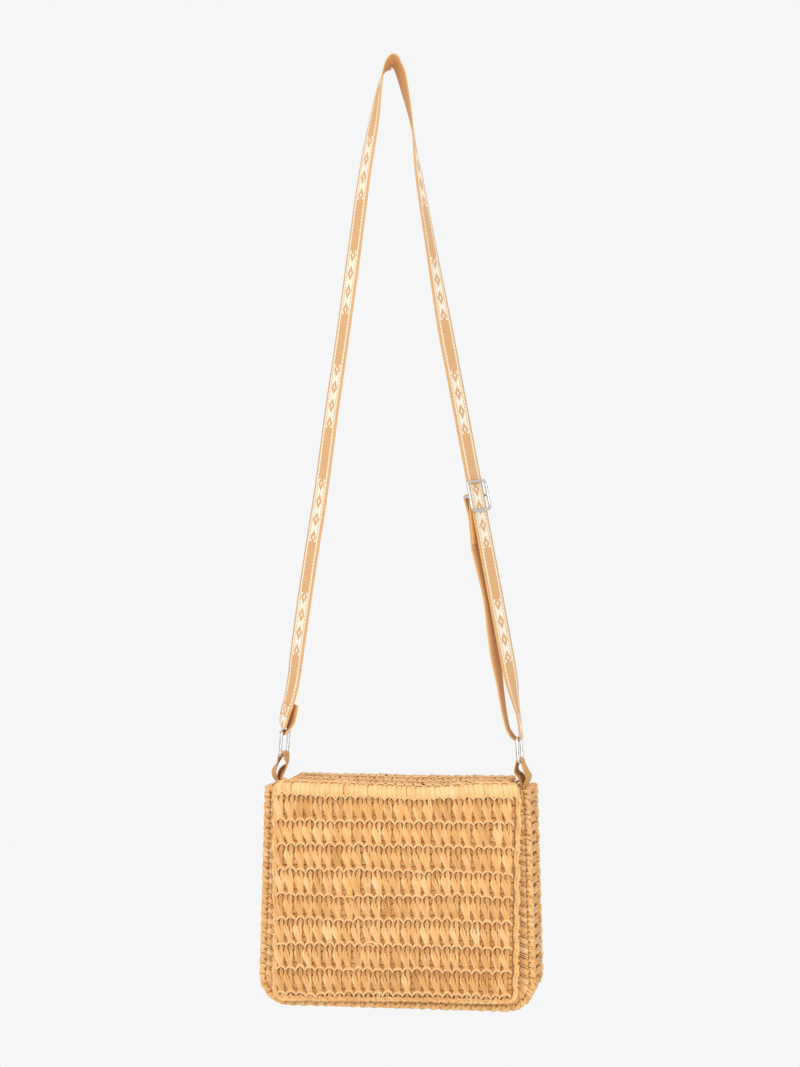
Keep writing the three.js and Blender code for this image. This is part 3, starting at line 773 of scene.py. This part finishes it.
rear = Strands(2)
top_length = profile_crest - 8
lines_top = -3.5 - top_length * np.array([1, 2 / 3, 1 / 3, 0])
crochet(rear, flap_patch, flap_left, flap_pitch, FLAP_COLUMNS, lines_top, 12, fine=False)
for side in (-1, 1):
    b = np.linspace(-top_length - 6, -1, 40)
    path, out = on_patch(flap_patch, side * (FLAP_HALF - 1.6), b, 0.2)
    inner = flap_patch(side * (FLAP_HALF - 6.0), b, 0.2)
    whipped_edge(rear, path, inner - path, out, 1.8, 4.6, 41 + side, width=1.3)
    run_on(rear, flap_patch, side * (FLAP_HALF - 3.4), b, 0.7, 1.7, 1.1, 0.6)
flap_top_crochet = rear.build("flap_top_crochet", straw)

# Bag panels

SEAM_R = 2.6
panel_y = {-1: front_y + SEAM_R, 1: back_y - SEAM_R}


def panel_patch(side):
    """a is sideways from the bag's middle, b down from the rim, h outwards. side is -1 in front, 1 at the back."""
    depth = panel_y[side]

    def patch(a, b, h):
        down = np.clip(b / (RIM_Z - BOTTOM_Z), 0, 1)
        half = HALF_TOP + (HALF_BOTTOM - HALF_TOP) * down
        x = BAG_X + a * half / HALF_BOTTOM
        z = RIM_Z - b
        y = depth + side * (h - 1.2 + bulge(x, z, BACK_BULGE if side > 0 else INNER_BULGE))
        return table(x, y, z)

    return patch


PANEL_HALF = HALF_BOTTOM - 9
BORDER_PITCH = 8.6
BORDER_SLANT = 3.4
# (from the outline, half width, height, tone) of the strands that run along the border; the low middle cord's darker
# tone is painted shade under the border stitches.
BORDER_CORDS = ((4.6, 1.6, 2.2, 0.75), (8.0, 2.2, 0.7, 0.45), (12.4, 1.8, 1.4, 0.7))
# (along the border, half width) of the stitches in one group, and (share, height) of each stitch's controls.
BORDER_GROUP = ((0.0, 2.5), (3.9, 0.55), (5.6, 0.55))
BORDER_STITCH = ((0.0, 3.3), (0.3, 3.3), (0.6, 2.8), (1.0, 1.6))
SEAM_OUT = 2.4
SEAM_MIDDLE = 1.5
panel_columns = int(2 * PANEL_HALF / PITCH)
panel_left = -panel_columns * PITCH / 2
panel_lines = np.linspace(2, RIM_Z - BOTTOM_Z - 12, 10)
for side, name, node, seed in (
    (-1, "front_panel_crochet", "front_panel", 14),
    (1, "back_panel_crochet", "back_panel", 15),
):
    body = Strands(seed)
    patch = panel_patch(side)
    crochet(body, patch, panel_left, PITCH, panel_columns, panel_lines, seed, fine=False)
    # The border: short rows that run outwards to the seam, in groups.
    points, inward, run = outline_run(SEAM_MIDDLE)
    r = np.random.default_rng(seed + 50)
    depth = panel_y[side]
    for offset, half, up, level in BORDER_CORDS:
        wave = 0.35 * np.sin(2 * np.pi * run / BORDER_PITCH + offset)
        ring = lifted(points + inward * (offset + wave)[:, None], depth + side * up)
        body.add(ring[None], half, 0.8, (0.0, side, 0.0), level, 8)
    groups = np.arange(4.0, run[-1] - 8.0, BORDER_PITCH)
    groups = groups + r.normal(0, 0.5, len(groups))
    within, widths = np.transpose(BORDER_GROUP)
    spots = (groups[:, None] + within).ravel() + r.normal(0, 0.12, len(within) * len(groups))
    fat = np.tile(widths, len(groups)) * (1 + 0.08 * r.normal(size=len(spots)))
    px = at_run(spots, run, points)
    pin = unit(at_run(spots, run, inward))
    ptan = np.stack([pin[:, 1], -pin[:, 0]], axis=1)
    ctrl = []
    for s, h in BORDER_STITCH:
        flat = px + pin * (3.2 + 9.0 * s) + ptan * BORDER_SLANT * (s - 0.5)
        ctrl.append(lifted(flat, depth + side * h))
    ctrl = smooth(np.stack(ctrl, axis=1), 8)
    level = np.clip(0.78 + 0.12 * r.normal(size=len(px)), 0, 1)
    body.add(ctrl, fat[:, None], 0.8, (0.0, side, 0.0), level, 8)
    # The rim along the top.
    x = np.linspace(-HALF_TOP + 2, HALF_TOP - 2, 110)
    spine, out = on_patch(patch, x, 1.0 + 0.4 * np.sin(x / 1.6), 0.6)
    whipped_edge(body, spine, (0, 0, -1.0), out, 1.7, 4.3, seed + 60, width=1.25)
    fit(body.build(name, straw), "bag", "straw", node)

# Seam rows: a firm ridge along each panel's outline.
for side, name, node in ((-1, "front_seam_row", "front_edging"), (1, "back_seam_row", "back_edging")):
    seam = Strands(70 + side)
    points, inward, run = outline_run(SEAM_MIDDLE)
    depth = panel_y[side] + side * SEAM_OUT
    spine = lifted(points, depth)
    normal = (0.0, side, 0.0)
    inner = lifted(inward, 0.0)
    wobble = spine + inner * (0.35 * np.sin(run / 1.6))[:, None]
    rope(seam, wobble, normal, 2.3, 17.0, 81 + side, level=0.72)
    whipped_edge(seam, wobble, inner, normal, 2.1, 4.3, 85 + side, width=1.6, slant=1.6, reach=1.2)
    fit(seam.build(name, straw), "bag", "straw", node)

# Gusset: rows that run along it, and posts across it.
gusset_points, gusset_inward, gusset_run = outline_run(1.2, step=1.5)


def gusset_patch(a, b, h):
    """a along the outline, b across the depth from the front, h outwards."""
    x, z = columns_at(a, gusset_run, gusset_points)
    ix, iz = columns_at(a, gusset_run, gusset_inward)
    size = np.hypot(ix, iz)
    sag = 1.6 * np.sin(np.pi * np.clip((b - gusset_low[1]) / (gusset_high[1] - gusset_low[1]), 0, 1))
    away = h - 1.2 - sag * (0.4 + 0.6 * np.abs(ix) / size)
    return table(x - ix / size * away, b, z - iz / size * away)


gusset_body = Strands(3)
RIB_PITCH = 8.7
rib_count = int((gusset_run[-1] - 6) / RIB_PITCH)
rib_start = (gusset_run[-1] - (rib_count - 1) * RIB_PITCH) / 2
gusset_lines = np.linspace(gusset_low[1] + 0.6, gusset_high[1] - 0.6, 4)
r = np.random.default_rng(16)
for row in range(3):
    row_b, row_length = gusset_lines[row], gusset_lines[row + 1] - gusset_lines[row]
    a = rib_start + RIB_PITCH * np.arange(rib_count) + r.normal(0, 0.35, rib_count)
    lean = r.normal(0, 0.35, rib_count)
    for beside, half, high, level in ((-1.75, 1.6, 1.5, 0.62), (1.35, 1.5, 1.3, 0.5)):
        rows_of = []
        for share in np.linspace(0, 1, 6):
            middle = math.sin(math.pi * share)
            across = a + beside * (0.75 + 0.25 * middle) + lean * share + 1.2 * (share - 0.5)
            up = high * (0.55 + 0.45 * middle) + 0.1 * r.normal(size=rib_count)
            rows_of.append(table(across, row_b + row_length * share, up, half * (0.7 + 0.3 * middle), 1.0))
        level = np.clip(level + 0.12 * r.normal(size=rib_count), 0, 1)
        lay(gusset_body, gusset_patch, np.stack(rows_of, axis=1), 11, level, 8)
    # The knot that ties each rib to the next row
    if row:
        knots = [
            table(a + over, row_b + 0.5 * over, up, 0.9, 0.8)
            for over, up in ((-2.6, 0.4), (-1.4, 1.7), (0.0, 2.0), (1.4, 1.7), (2.6, 0.4))
        ]
        lay(gusset_body, gusset_patch, np.stack(knots, axis=1), 9, np.full(rib_count, 0.6), 6)
# Low strands behind the ribs, with a dark tone: painted shade in the gaps between the ribs.
ground_a = np.linspace(1.0, gusset_run[-1] - 1.0, int(gusset_run[-1] / 3))
for b in np.arange(gusset_lines[0] + 1.4, gusset_lines[-1], 3.6):
    run_on(gusset_body, gusset_patch, ground_a, b + 0.3 * np.sin(ground_a), -1.5, 2.0, 0.6, 0.25, 6)
for tip in (1.0, gusset_run[-1] - 1.0):
    b = np.linspace(gusset_low[1] + 1, gusset_high[1] - 1, 24)
    spine, out = on_patch(gusset_patch, tip, b, 0.4)
    whipped_edge(gusset_body, spine, (0, 0, -1.0), out, 1.7, 4.3, 91, width=1.25)
fit(gusset_body.build("gusset_crochet", straw), "bag", "straw", "gusset")


# Linings


def shell(name, rows, cols, place):
    """A closed sheet: place(u, v, depth) gives a point in its thickness, with u and v from 0 to 1."""
    u, v = np.meshgrid(np.linspace(0, 1, cols), np.linspace(0, 1, rows))
    skins = [place(u, v, 0.0), place(u, v, LINING_T)]
    points = np.concatenate([s.reshape(-1, 3) for s in skins])
    grid = np.arange(rows * cols).reshape(rows, cols)
    other = grid + rows * cols
    quads = [
        np.stack([grid[:-1, :-1], grid[:-1, 1:], grid[1:, 1:], grid[1:, :-1]], -1).reshape(-1, 4),
        np.stack([other[:-1, :-1], other[1:, :-1], other[1:, 1:], other[:-1, 1:]], -1).reshape(-1, 4),
    ]
    for edge, flip in ((grid[0], 0), (grid[-1], 1), (grid[:, 0], 1), (grid[:, -1], 0)):
        a, b = edge[:-1], edge[1:]
        c, d = b + rows * cols, a + rows * cols
        quads.append(np.stack([a, d, c, b] if not flip else [a, b, c, d], -1))
    loops = np.concatenate(quads).reshape(-1)
    made = mesh_of(name, points, loops, np.full(len(loops) // 4, 4))
    made.data.materials.append(cotton)
    return made


LINING_T = 0.7
lining_front_y, lining_back_y = lining_low[1], lining_high[1]


def ripple(a, b):
    return 0.5 * np.sin(a / 13.0 + 1.1 * np.sin(b / 31.0)) + 0.35 * np.sin(b / 19.0 + a / 47.0)


def flat_lining(side):
    def place(u, v, inner):
        b = 1.5 + v * (RIM_Z - lining_low[2] - 4.0)
        z = RIM_Z - b
        half = HALF_TOP - 9.5 + (HALF_BOTTOM - HALF_TOP) * v - 9.0 * np.clip((v - 0.93) / 0.07, 0, 1) ** 2
        x = BAG_X + (2 * u - 1) * half
        depth = lining_front_y if side < 0 else lining_back_y
        y = depth - side * (inner + 0.4) + 0.6 * ripple(x, z)
        return table(x, y, z)

    return place


def strip_lining(u, v, inner):
    points, inward, run = outline_run(9.5)
    a = (5.0 + u * (run[-1] - 10.0)).clip(0, run[-1])
    x, z = columns_at(a, run, points)
    ix, iz = columns_at(a, run, inward)
    y = lining_front_y + 0.6 + v * (lining_back_y - lining_front_y - 1.2)
    lift = inner + 0.35 * np.sin(a / 17.0) + 0.3 * np.sin(y / 9.0)
    return np.stack([x + ix * lift, y, z + iz * lift], axis=-1)


def declare_cloth(place):
    """Works out a piece of cloth's area along the cloth, and does nothing with it."""
    u, v = np.meshgrid(np.linspace(0, 1, 41), np.linspace(0, 1, 41))
    p = place(u, v, 0.0) * MM
    area = np.linalg.norm(np.cross(p[1:, :-1] - p[:-1, :-1], p[:-1, 1:] - p[:-1, :-1]), axis=2).sum()


for name, rows, cols, place, behind, nodes in (
    ("lining_front", 48, 48, flat_lining(-1), "front_panel_crochet", ["bag_lining"]),
    ("lining_back", 48, 48, flat_lining(1), "back_panel_crochet", []),
    ("lining_strip", 14, 120, strip_lining, "gusset_crochet", []),
):
    made = shell(name, rows, cols, place)
    fit(made, "bag", "cotton", *nodes)
    declare_cloth(place)


def flap_lining(start, stop, inset):
    def place(u, v, inner):
        b = start + v * (stop - start)
        half = FLAP_HALF - inset - 6 * np.clip((v - 0.96) / 0.04, 0, 1) ** 2 * (stop > 100)
        a = (2 * u - 1) * half
        return flap_patch(a, b, -2.9 + inner + 0.12 * ripple(a, b))

    return place


front_cut = flap_lining(-1.0, FLAP_END_B - 3.5, 2.5)
front_lining = shell("flap_front_lining_cloth", 60, 48, front_cut)
declare_cloth(front_cut)
top_cut = flap_lining(-top_length - 2.0, -1.8, 2.5)
top_lining = shell("flap_top_lining_cloth", 30, 48, top_cut)
declare_cloth(top_cut)

# The flap's front and top, with their lining cloths, keep their places in the world, and the CAD parts they stand for
# are hidden.
for piece, slot, nodes in (
    (flap_front_crochet, "straw", ("flap_front_panel", "flap_edging", "flap_front_fold")),
    (front_lining, "cotton", ("flap_front_lining",)),
):
    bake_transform(piece)
    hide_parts(*nodes)
for piece, slot, nodes in (
    (flap_top_crochet, "straw", ("flap_top_panel", "flap_back_fold")),
    (top_lining, "cotton", ("flap_top_lining",)),
):
    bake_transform(piece)
    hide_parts(*nodes)

# Webbing

Y = np.array([0.0, 1.0, 0.0])
WEB_HALF = 12.5
WEB_THICK = 1.4


WEB_STEP = 0.9
SELVEDGE_PERIOD = 2.1


def webbing(name, points, widths, material, half=WEB_HALF, sides_across=8):
    """A woven strip along points (N, 3), with its width direction at each point."""
    run = run_of(points)
    at = np.linspace(0, run[-1], int(run[-1] / WEB_STEP))
    p = at_run(at, run, points)
    w = unit(at_run(at, run, widths))
    along = unit(np.gradient(p, axis=0))
    w = unit(w - along * (w * along).sum(1, keepdims=True))
    n = np.cross(along, w)
    serrated = half - 0.22 + 0.22 * np.sin(2 * np.pi * at / SELVEDGE_PERIOD)
    share = np.linspace(-1, 1, sides_across + 1)
    profile = [(s, 1.0) for s in share] + [(1.0, 0.0)] + [(s, -1.0) for s in share[::-1]] + [(-1.0, 0.0)]
    rings, web = [], []
    for s, up in profile:
        round_off = 0.55 if abs(s) == 1.0 and up else 1.0
        across = s * serrated * (0.985 if abs(s) == 1.0 and up else 1.0)
        rings.append(p + w * across[:, None] + n * (up * WEB_THICK / 2 * round_off))
        web.append(table(at, s * half, up))
    rings, web = np.stack(rings, axis=1), np.stack(web, axis=1)
    count, sides = rings.shape[:2]
    index = np.arange(count * sides).reshape(count, sides)
    around = np.roll(index, -1, axis=1)
    quads = np.stack([index[:-1], around[:-1], around[1:], index[1:]], axis=-1).reshape(-1, 4)
    loops = np.concatenate([quads.reshape(-1), index[0, ::-1], index[-1]])
    sizes = np.concatenate([np.full(len(quads), 4), [sides, sides]])
    made = mesh_of(name, rings.reshape(-1, 3), loops, sizes)
    attribute(made.data, "web", web.reshape(-1, 3), "FLOAT_VECTOR", "vector")
    made.data.materials.append(material)
    return made


def twisted(controls, samples_per=14):
    """Points and width directions along a smooth curve through controls of (x, y, z, twist in degrees)."""
    controls = np.array(controls, float)
    gaps = np.linalg.norm(np.diff(controls[:, :3], axis=0), axis=1) ** 0.5
    knots = np.concatenate([[0], gaps.cumsum()])
    knots = np.concatenate([[knots[0] - gaps[0]], knots, [knots[-1] + gaps[-1]]])
    padded = np.concatenate([[2 * controls[0] - controls[1]], controls, [2 * controls[-1] - controls[-2]]])
    out = []
    for i in range(1, len(padded) - 2):
        k, values = knots[i - 1 : i + 3], padded[i - 1 : i + 3]
        t = np.linspace(k[1], k[2], samples_per, endpoint=False)[:, None]
        for spans in (((0, 1), (1, 2), (2, 3)), ((0, 2), (1, 3)), ((1, 2),)):
            values = [
                (k[j] - t) / (k[j] - k[i]) * a + (t - k[i]) / (k[j] - k[i]) * b
                for (i, j), a, b in zip(spans, values, values[1:])
            ]
        out.append(values[0])
    out = np.concatenate(out + [controls[-1:]])
    points, twist = out[:, :3], np.radians(out[:, 3])
    return points, turned(unit(np.gradient(points, axis=0)), twist[:, None])


def turned(along, twist):
    """The width direction of webbing that runs along a direction and is twisted out of +Y."""
    flat = unit(Y - along * along[..., 1:2])
    return flat * np.cos(twist) + np.cross(along, flat) * np.sin(twist)


def round_bar(bar, start, stop, twist=0.0):
    """Controls round a ring's bar, between two angles in degrees."""
    return [(x, bar[1], z, twist) for x, z in arc((bar[0], bar[2]), WRAP_R, start, stop, 9)]


def beside(bar, *places):
    """Controls at places of (x, z, twist) counted from a bar."""
    return [(bar[0] + x, 0, bar[2] + z, twist) for x, z, twist in places]


left_upper, left_lower = pivot("left_ring_turn"), pivot("left_tab_turn")
right_upper, right_lower = pivot("bag_sway"), pivot("right_tab_turn")
WIRE_R = 1.4
WRAP_R = WIRE_R + 0.2 + WEB_THICK / 2
LAYER = WEB_THICK + 0.15  # between the middles of two layers that lie together
slide = np.array(joints["slider_slide"]["axis"])
slide_down = -slide / np.linalg.norm(slide)
bar_low, bar_high = node_box("slider_centre_bar")
slider_z = (bar_low[2] + bar_high[2]) / 2
LEG_TWIST = 23.0
LEG_TOP = np.array([45.2, 0.0, -232.0])
LEG_LOW_Z = -520.0


def on_leg(z):
    return LEG_TOP + slide_down * (z - LEG_TOP[2]) / slide_down[2]


slider_at = on_leg(slider_z)
CREST_TILT = 20.0
CREST_Z = WEB_THICK / 2 - WEB_HALF * math.sin(math.radians(CREST_TILT))
strap_controls = [
    *beside(left_upper, (5.9, 24, -37), (4.6, 18, -38), (3.9, 12, -36), (3.0, 7, -30), (2.4, 3.4, -20)),
    *round_bar(left_upper, 0, -180),
    *beside(left_upper, (-2.3, 3.4, 20), (-1.6, 7, 26), (-0.7, 12, 29), (0.8, 18, 31), (2.8, 24, 32)),
    (-86.4, 0, -532, 35),
    (-82.5, 0, -503, 38),
    (-72.6, 0, -435, 39),
    (-62, 0, -368, 38.5),
    (-52.8, 0, -300, 38),
    (-42.7, 0, -232, 37),
    (-33.4, 0, -165, 37),
    (-24, 0, -97, 34),
    (-16, 0, -52, 29),
    (-11.8, -0.8, -27, 20),
    (-8.8, -1.6, -15, 13),
    (-5.8, -1.9, -9.0, 3),
    (-2.7, -1.2, -5.0, -9),
    (0, 0, CREST_Z, -CREST_TILT),
    (2.6, 1.2, -5.0, -21),
    (5.0, 1.9, -9.5, -23),
    (7.4, 1.6, -16, -24),
    (10.2, 0.8, -27, -21),
    (15.6, 0, -52, -12),
    (22, 0, -97, 5),
    (33.4, 0, -165, 14),
    *[(*on_leg(z), LEG_TWIST) for z in (-232, -270, -310, -350, -390, -430, -470)],
    (*on_leg(LEG_LOW_Z), LEG_TWIST * 0.9),
    (101.9, 0, -531, 17),
    (104.4, 0, -544, 8),
    (107.4, 0, -558, 1),
    *round_bar(right_upper, 5, -135),
    *beside(right_upper, (-4.6, 0.6, 0), (-6.4, 3, 0)),
]
strap_points, strap_widths = twisted(strap_controls)
fit(webbing("strap", strap_points, strap_widths, jacquard), "strap", "webbing", "strap_long_run")

# The slider's own directions
across = turned(slide_down, math.radians(LEG_TWIST))
outwards = np.cross(slide_down, across)


def on_slider(down, out, sideways=0.0):
    return slider_at + slide_down * down + outwards * out + across * sideways


SLIDER_R = 1.2
SEWN_R = SLIDER_R + 0.2 + WEB_THICK / 2
CENTRE_BAR = -(LAYER + SEWN_R)
SEWN_LENGTH = 40.0
LEAN = 0.11
sewn = [on_slider(d, -LAYER - LEAN * max(d - 4, 0)) for d in (SEWN_LENGTH, 34, 28, 22, 16, 11, 6)]
sewn += [
    on_slider(-SEWN_R * math.sin(t), CENTRE_BAR + SEWN_R * math.cos(t)) for t in np.radians(np.linspace(0, 180, 9))
]
for d in (5, 11, 16, 22, 28, 34, SEWN_LENGTH, SEWN_LENGTH + 4.2):
    close = min(1.0, d / 20.0) ** 2 * (3 - 2 * min(1.0, d / 20.0))
    apart = 2 * SEWN_R * (1 - close) + LAYER * close
    sewn.append(on_slider(d, -LAYER - LEAN * max(d - 4, 0) - apart))
sewn = smooth(np.array(sewn)[None], 120)[0]
fit(webbing("strap_end_round_bar", sewn, across, plain_lit_web), "slider", "webbing", "strap_sewn_end")

back_top = on_slider(SEWN_LENGTH + 4.2, -2 * LAYER - LEAN * SEWN_LENGTH)
back_controls = [
    *beside(right_upper, (-6.46, 3.1, 0), (-8.6, 6.6, 0)),
    (95.6, 0, -557, -2),
    (91.5, 0, -531, -6),
    (88, 0.6, -508, -14),
    (86, 1.2, -488, -18),
    (82.6, 2.4, -458, -21),
    (*back_top, -LEG_TWIST),
]
points, widths = twisted(back_controls, 20)
back_run = webbing("strap_back_run_webbing", points, widths, plain_lit_web)
tuple(np.array(back_controls[1][:3]) * MM)
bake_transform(back_run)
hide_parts("strap_back_run")


def sewn_box(name, body, points, widths, start, stop, half, face):
    """A box of stitches on one face of a webbing, between two places on its run."""
    run = run_of(points)
    along = unit(np.gradient(points, axis=0))
    down_side = np.arange(start, stop, 3.0)
    over_side = np.arange(-half, half, 3.0) + 1.5
    spots = [(d, edge, 1.0, 0.0) for edge in (-half, half) for d in down_side]
    spots += [(edge, a, 0.0, 1.0) for edge in (start, stop) for a in over_side]
    paths, outs = [], []
    for place, offset, lengthwise, crosswise in spots:
        p = at_run([place], run, points)[0]
        t = at_run([place], run, along)[0]
        w = at_run([place], run, widths)[0]
        w = unit(w - t * (w @ t))
        n = face * np.cross(t, w)
        share = np.linspace(-1, 1, 7)[:, None]
        lift = WEB_THICK / 2 - 0.25 + 0.4 * (1 - share**4)
        paths.append(p + w * offset + (t * lengthwise + w * crosswise) * 1.25 * share + n * lift)
        outs.append(n)
    threads = Strands()
    threads.add(np.stack(paths), 0.42, 0.3, np.stack(outs)[:, None], 0.1, 6)
    fit(threads.build(name, straw), body, "webbing")


sewn_box("sewn_end_stitches", "slider", sewn, across, 3.0, 33.0, 8.5, -1)
strap_run = run_of(strap_points)
rising = (strap_points[:, 2] > left_upper[2] + 14) & (strap_run > 30)
first = strap_run[rising][0]
sewn_box("left_fold_stitches", "strap", strap_points, strap_widths, first, first + 9.0, 9.0, 1)

# Tabs: each is folded over its ring's lower bar, and its ends lie together inside the gusset.
tab_low, tab_high = node_box("right_tab")
TAB_HALF = (tab_high[1] - tab_low[1]) / 2
TAB_INSET = 4 + 0.45 + WEB_THICK + 0.15  # the gusset, the play beside the tab and the tab's own layers
TAB_CLOSED_Z = RIM_Z - 5
TAB_MOUTH_Z = RIM_Z + 2
TAB_WAIST_Z = RIM_Z + 9
for name, bar, side, turn in (("left_tab", left_lower, -1, 21), ("right_tab", right_lower, 1, -6)):
    base = BAG_X + side * (HALF_TOP - TAB_INSET)
    up = []
    for way, waist, shoulder in ((-1, 2.6, 3.1), (1, 3.4, 5.2)):  # the inner leg, then the outer one
        x = base + way * side * LAYER / 2
        twist = -way * turn
        up.append(
            [
                (x, 0, tab_low[2], 0),
                (x, 0, TAB_CLOSED_Z, 0),
                (x, 0, TAB_MOUTH_Z, twist * 0.8),
                (base + way * side * waist, 0, TAB_WAIST_Z, twist),
                *beside(bar, (way * side * shoulder, -8, twist * 0.4)),
            ]
        )
    over = (190, -10) if side > 0 else (-10, 190)
    controls = [*up[0], *round_bar(bar, *over), *up[1][::-1]]
    points, widths = twisted(controls)
    fit(webbing(name + "_webbing", points, widths, tab_web, TAB_HALF, 6), name, "webbing", name)

# Metal


def wire_loop(name, centre, across_dir, along_dir, half_across, half_along, corner, radius):
    """A wire bent into a closed loop with four straight sides and round corners."""
    corners = []
    for sx, sy, start in ((1, 1, 0), (-1, 1, 90), (-1, -1, 180), (1, -1, 270)):
        middle = (sx * (half_across - corner), sy * (half_along - corner))
        corners.append(arc(middle, corner, start, start + 90, 13))
    loop = []
    for bend, following in zip(corners, corners[1:] + corners[:1]):
        loop += [bend, bend[-1] + (following[0] - bend[-1]) * np.array([[0.25], [0.5], [0.75]])]
    loop = np.concatenate(loop)
    path = centre + loop[:, :1] * across_dir + loop[:, 1:] * along_dir
    made = Strands()
    made.add(path[None], radius, radius, np.cross(across_dir, along_dir), 0.5, 20, looped=True)
    return made.build(name, nickel)


RING_CORNER = 2.6
for name, upper, lower in (("left_ring", left_upper, left_lower), ("right_ring", right_upper, right_lower)):
    low, high = node_box(name)
    half_y = (high[1] - low[1]) / 2 - WIRE_R
    along_dir = unit(upper - lower)
    half = np.linalg.norm(upper - lower) / 2
    ring = wire_loop(name + "_wire", (upper + lower) / 2, Y, along_dir, half_y, half, RING_CORNER, WIRE_R)
    fit(ring, name, "steel", name)

FRONT_BAR = WEB_THICK / 2 + 0.2 + SLIDER_R
SLIDER_HALF_W = 15.2
SLIDER_HALF_L = 12.4
SLIDER_CORNER = 3.5
slider_frame = wire_loop(
    "slider_frame_wire",
    on_slider(0, FRONT_BAR),
    across,
    slide_down,
    SLIDER_HALF_W,
    SLIDER_HALF_L,
    SLIDER_CORNER,
    SLIDER_R,
)
# The centre bar's half, from the frame's side to its middle: (sideways, outwards).
half_bar = [
    (SLIDER_HALF_W, FRONT_BAR - 1.0),
    (SLIDER_HALF_W, CENTRE_BAR + 2.2),
    (SLIDER_HALF_W - 0.5, CENTRE_BAR + 0.6),
    (SLIDER_HALF_W - 2.0, CENTRE_BAR),
]
bar_places = [(-side, out) for side, out in half_bar] + [(0, CENTRE_BAR)] + half_bar[::-1]
bar_path = smooth([[on_slider(0, out, side) for side, out in bar_places]], 60)
bar = Strands()
bar.add(bar_path, SLIDER_R, SLIDER_R, slide_down, 0.5, 16)
slider_bar = bar.build("slider_centre_bar_wire", nickel)
fit(slider_frame, "slider", "steel", "slider_frame")
fit(slider_bar, "slider", "steel", "slider_centre_bar")

# The magnetic snap keeps its CAD shapes
for name in ("snap_socket", "snap_socket_washer", "snap_stud"):
    frame["nodes"][name].data.materials.clear()
    frame["nodes"][name].data.materials.append(nickel)

# Stage

bpy.ops.mesh.primitive_circle_add(vertices=96, radius=1.6, fill_type="NGON", location=(0, 0, -2.4))
floor = bpy.context.object
floor.name = "studio_floor"
floor_look = Nodes("studio_floor")
floor_look.set(Base_Color=(0.86, 0.86, 0.86, 1.0), Roughness=0.9)
floor.data.materials.append(floor_look.material)
floor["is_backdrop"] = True

world = bpy.data.worlds.new("studio")
bpy.context.scene.world = world
world.use_nodes = True
tree = world.node_tree
tree.nodes.clear()
both = tree.nodes.new("ShaderNodeMixShader")
rays = tree.nodes.new("ShaderNodeLightPath")
tree.links.new(rays.outputs["Is Camera Ray"], both.inputs[0])
for place, colour, strength in (
    (1, (1.0, 0.99, 0.975, 1.0), 0.84),  # what lights the purse
    (2, (0.922, 0.922, 0.922, 1.0), 1.0),  # what the camera sees behind it
):
    background = tree.nodes.new("ShaderNodeBackground")
    background.inputs[0].default_value = colour
    background.inputs[1].default_value = strength
    tree.links.new(background.outputs[0], both.inputs[place])
tree.links.new(both.outputs[0], tree.nodes.new("ShaderNodeOutputWorld").inputs[0])


def aimed(name, data, place, target):
    """An object at a place, pointing at a target."""
    made = bpy.data.objects.new(name, data)
    made.location = place
    made.rotation_mode = "QUATERNION"
    made.rotation_quaternion = (Vector(target) - Vector(place)).to_track_quat("-Z", "Y")
    bpy.context.scene.collection.objects.link(made)
    return made


for name, place, target, size, power in (
    ("key", (-1.1, -2.0, 0.7), (0, 0, -0.5), 1.3, 14),
    ("fill", (0.75, -2.3, -0.3), (0, 0, -0.5), 1.4, 17),
    ("top", (0.2, -0.3, 1.5), (0, 0, -0.6), 1.0, 6),
):
    lamp = bpy.data.lights.new(name, "AREA")
    lamp.shape = "DISK"
    lamp.size = size
    lamp.energy = power
    aimed(name, lamp, place, target)

AZIMUTH = math.radians(9.0)
DISTANCE = 2.1
VIEW_HEIGHT = 0.9055
SENSOR = 24.0
camera_data = bpy.data.cameras.new("camera")
camera_data.sensor_fit = "VERTICAL"
camera_data.sensor_height = SENSOR
camera_data.lens = SENSOR * DISTANCE / VIEW_HEIGHT
target = Vector((0.0062, 0.0, -0.404))
place = target + Vector((math.sin(AZIMUTH), -math.cos(AZIMUTH), 0.0)) * DISTANCE
bpy.context.scene.camera = aimed("camera", camera_data, place, target)
bpy.context.scene.view_settings.view_transform = "Standard"

low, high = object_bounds()
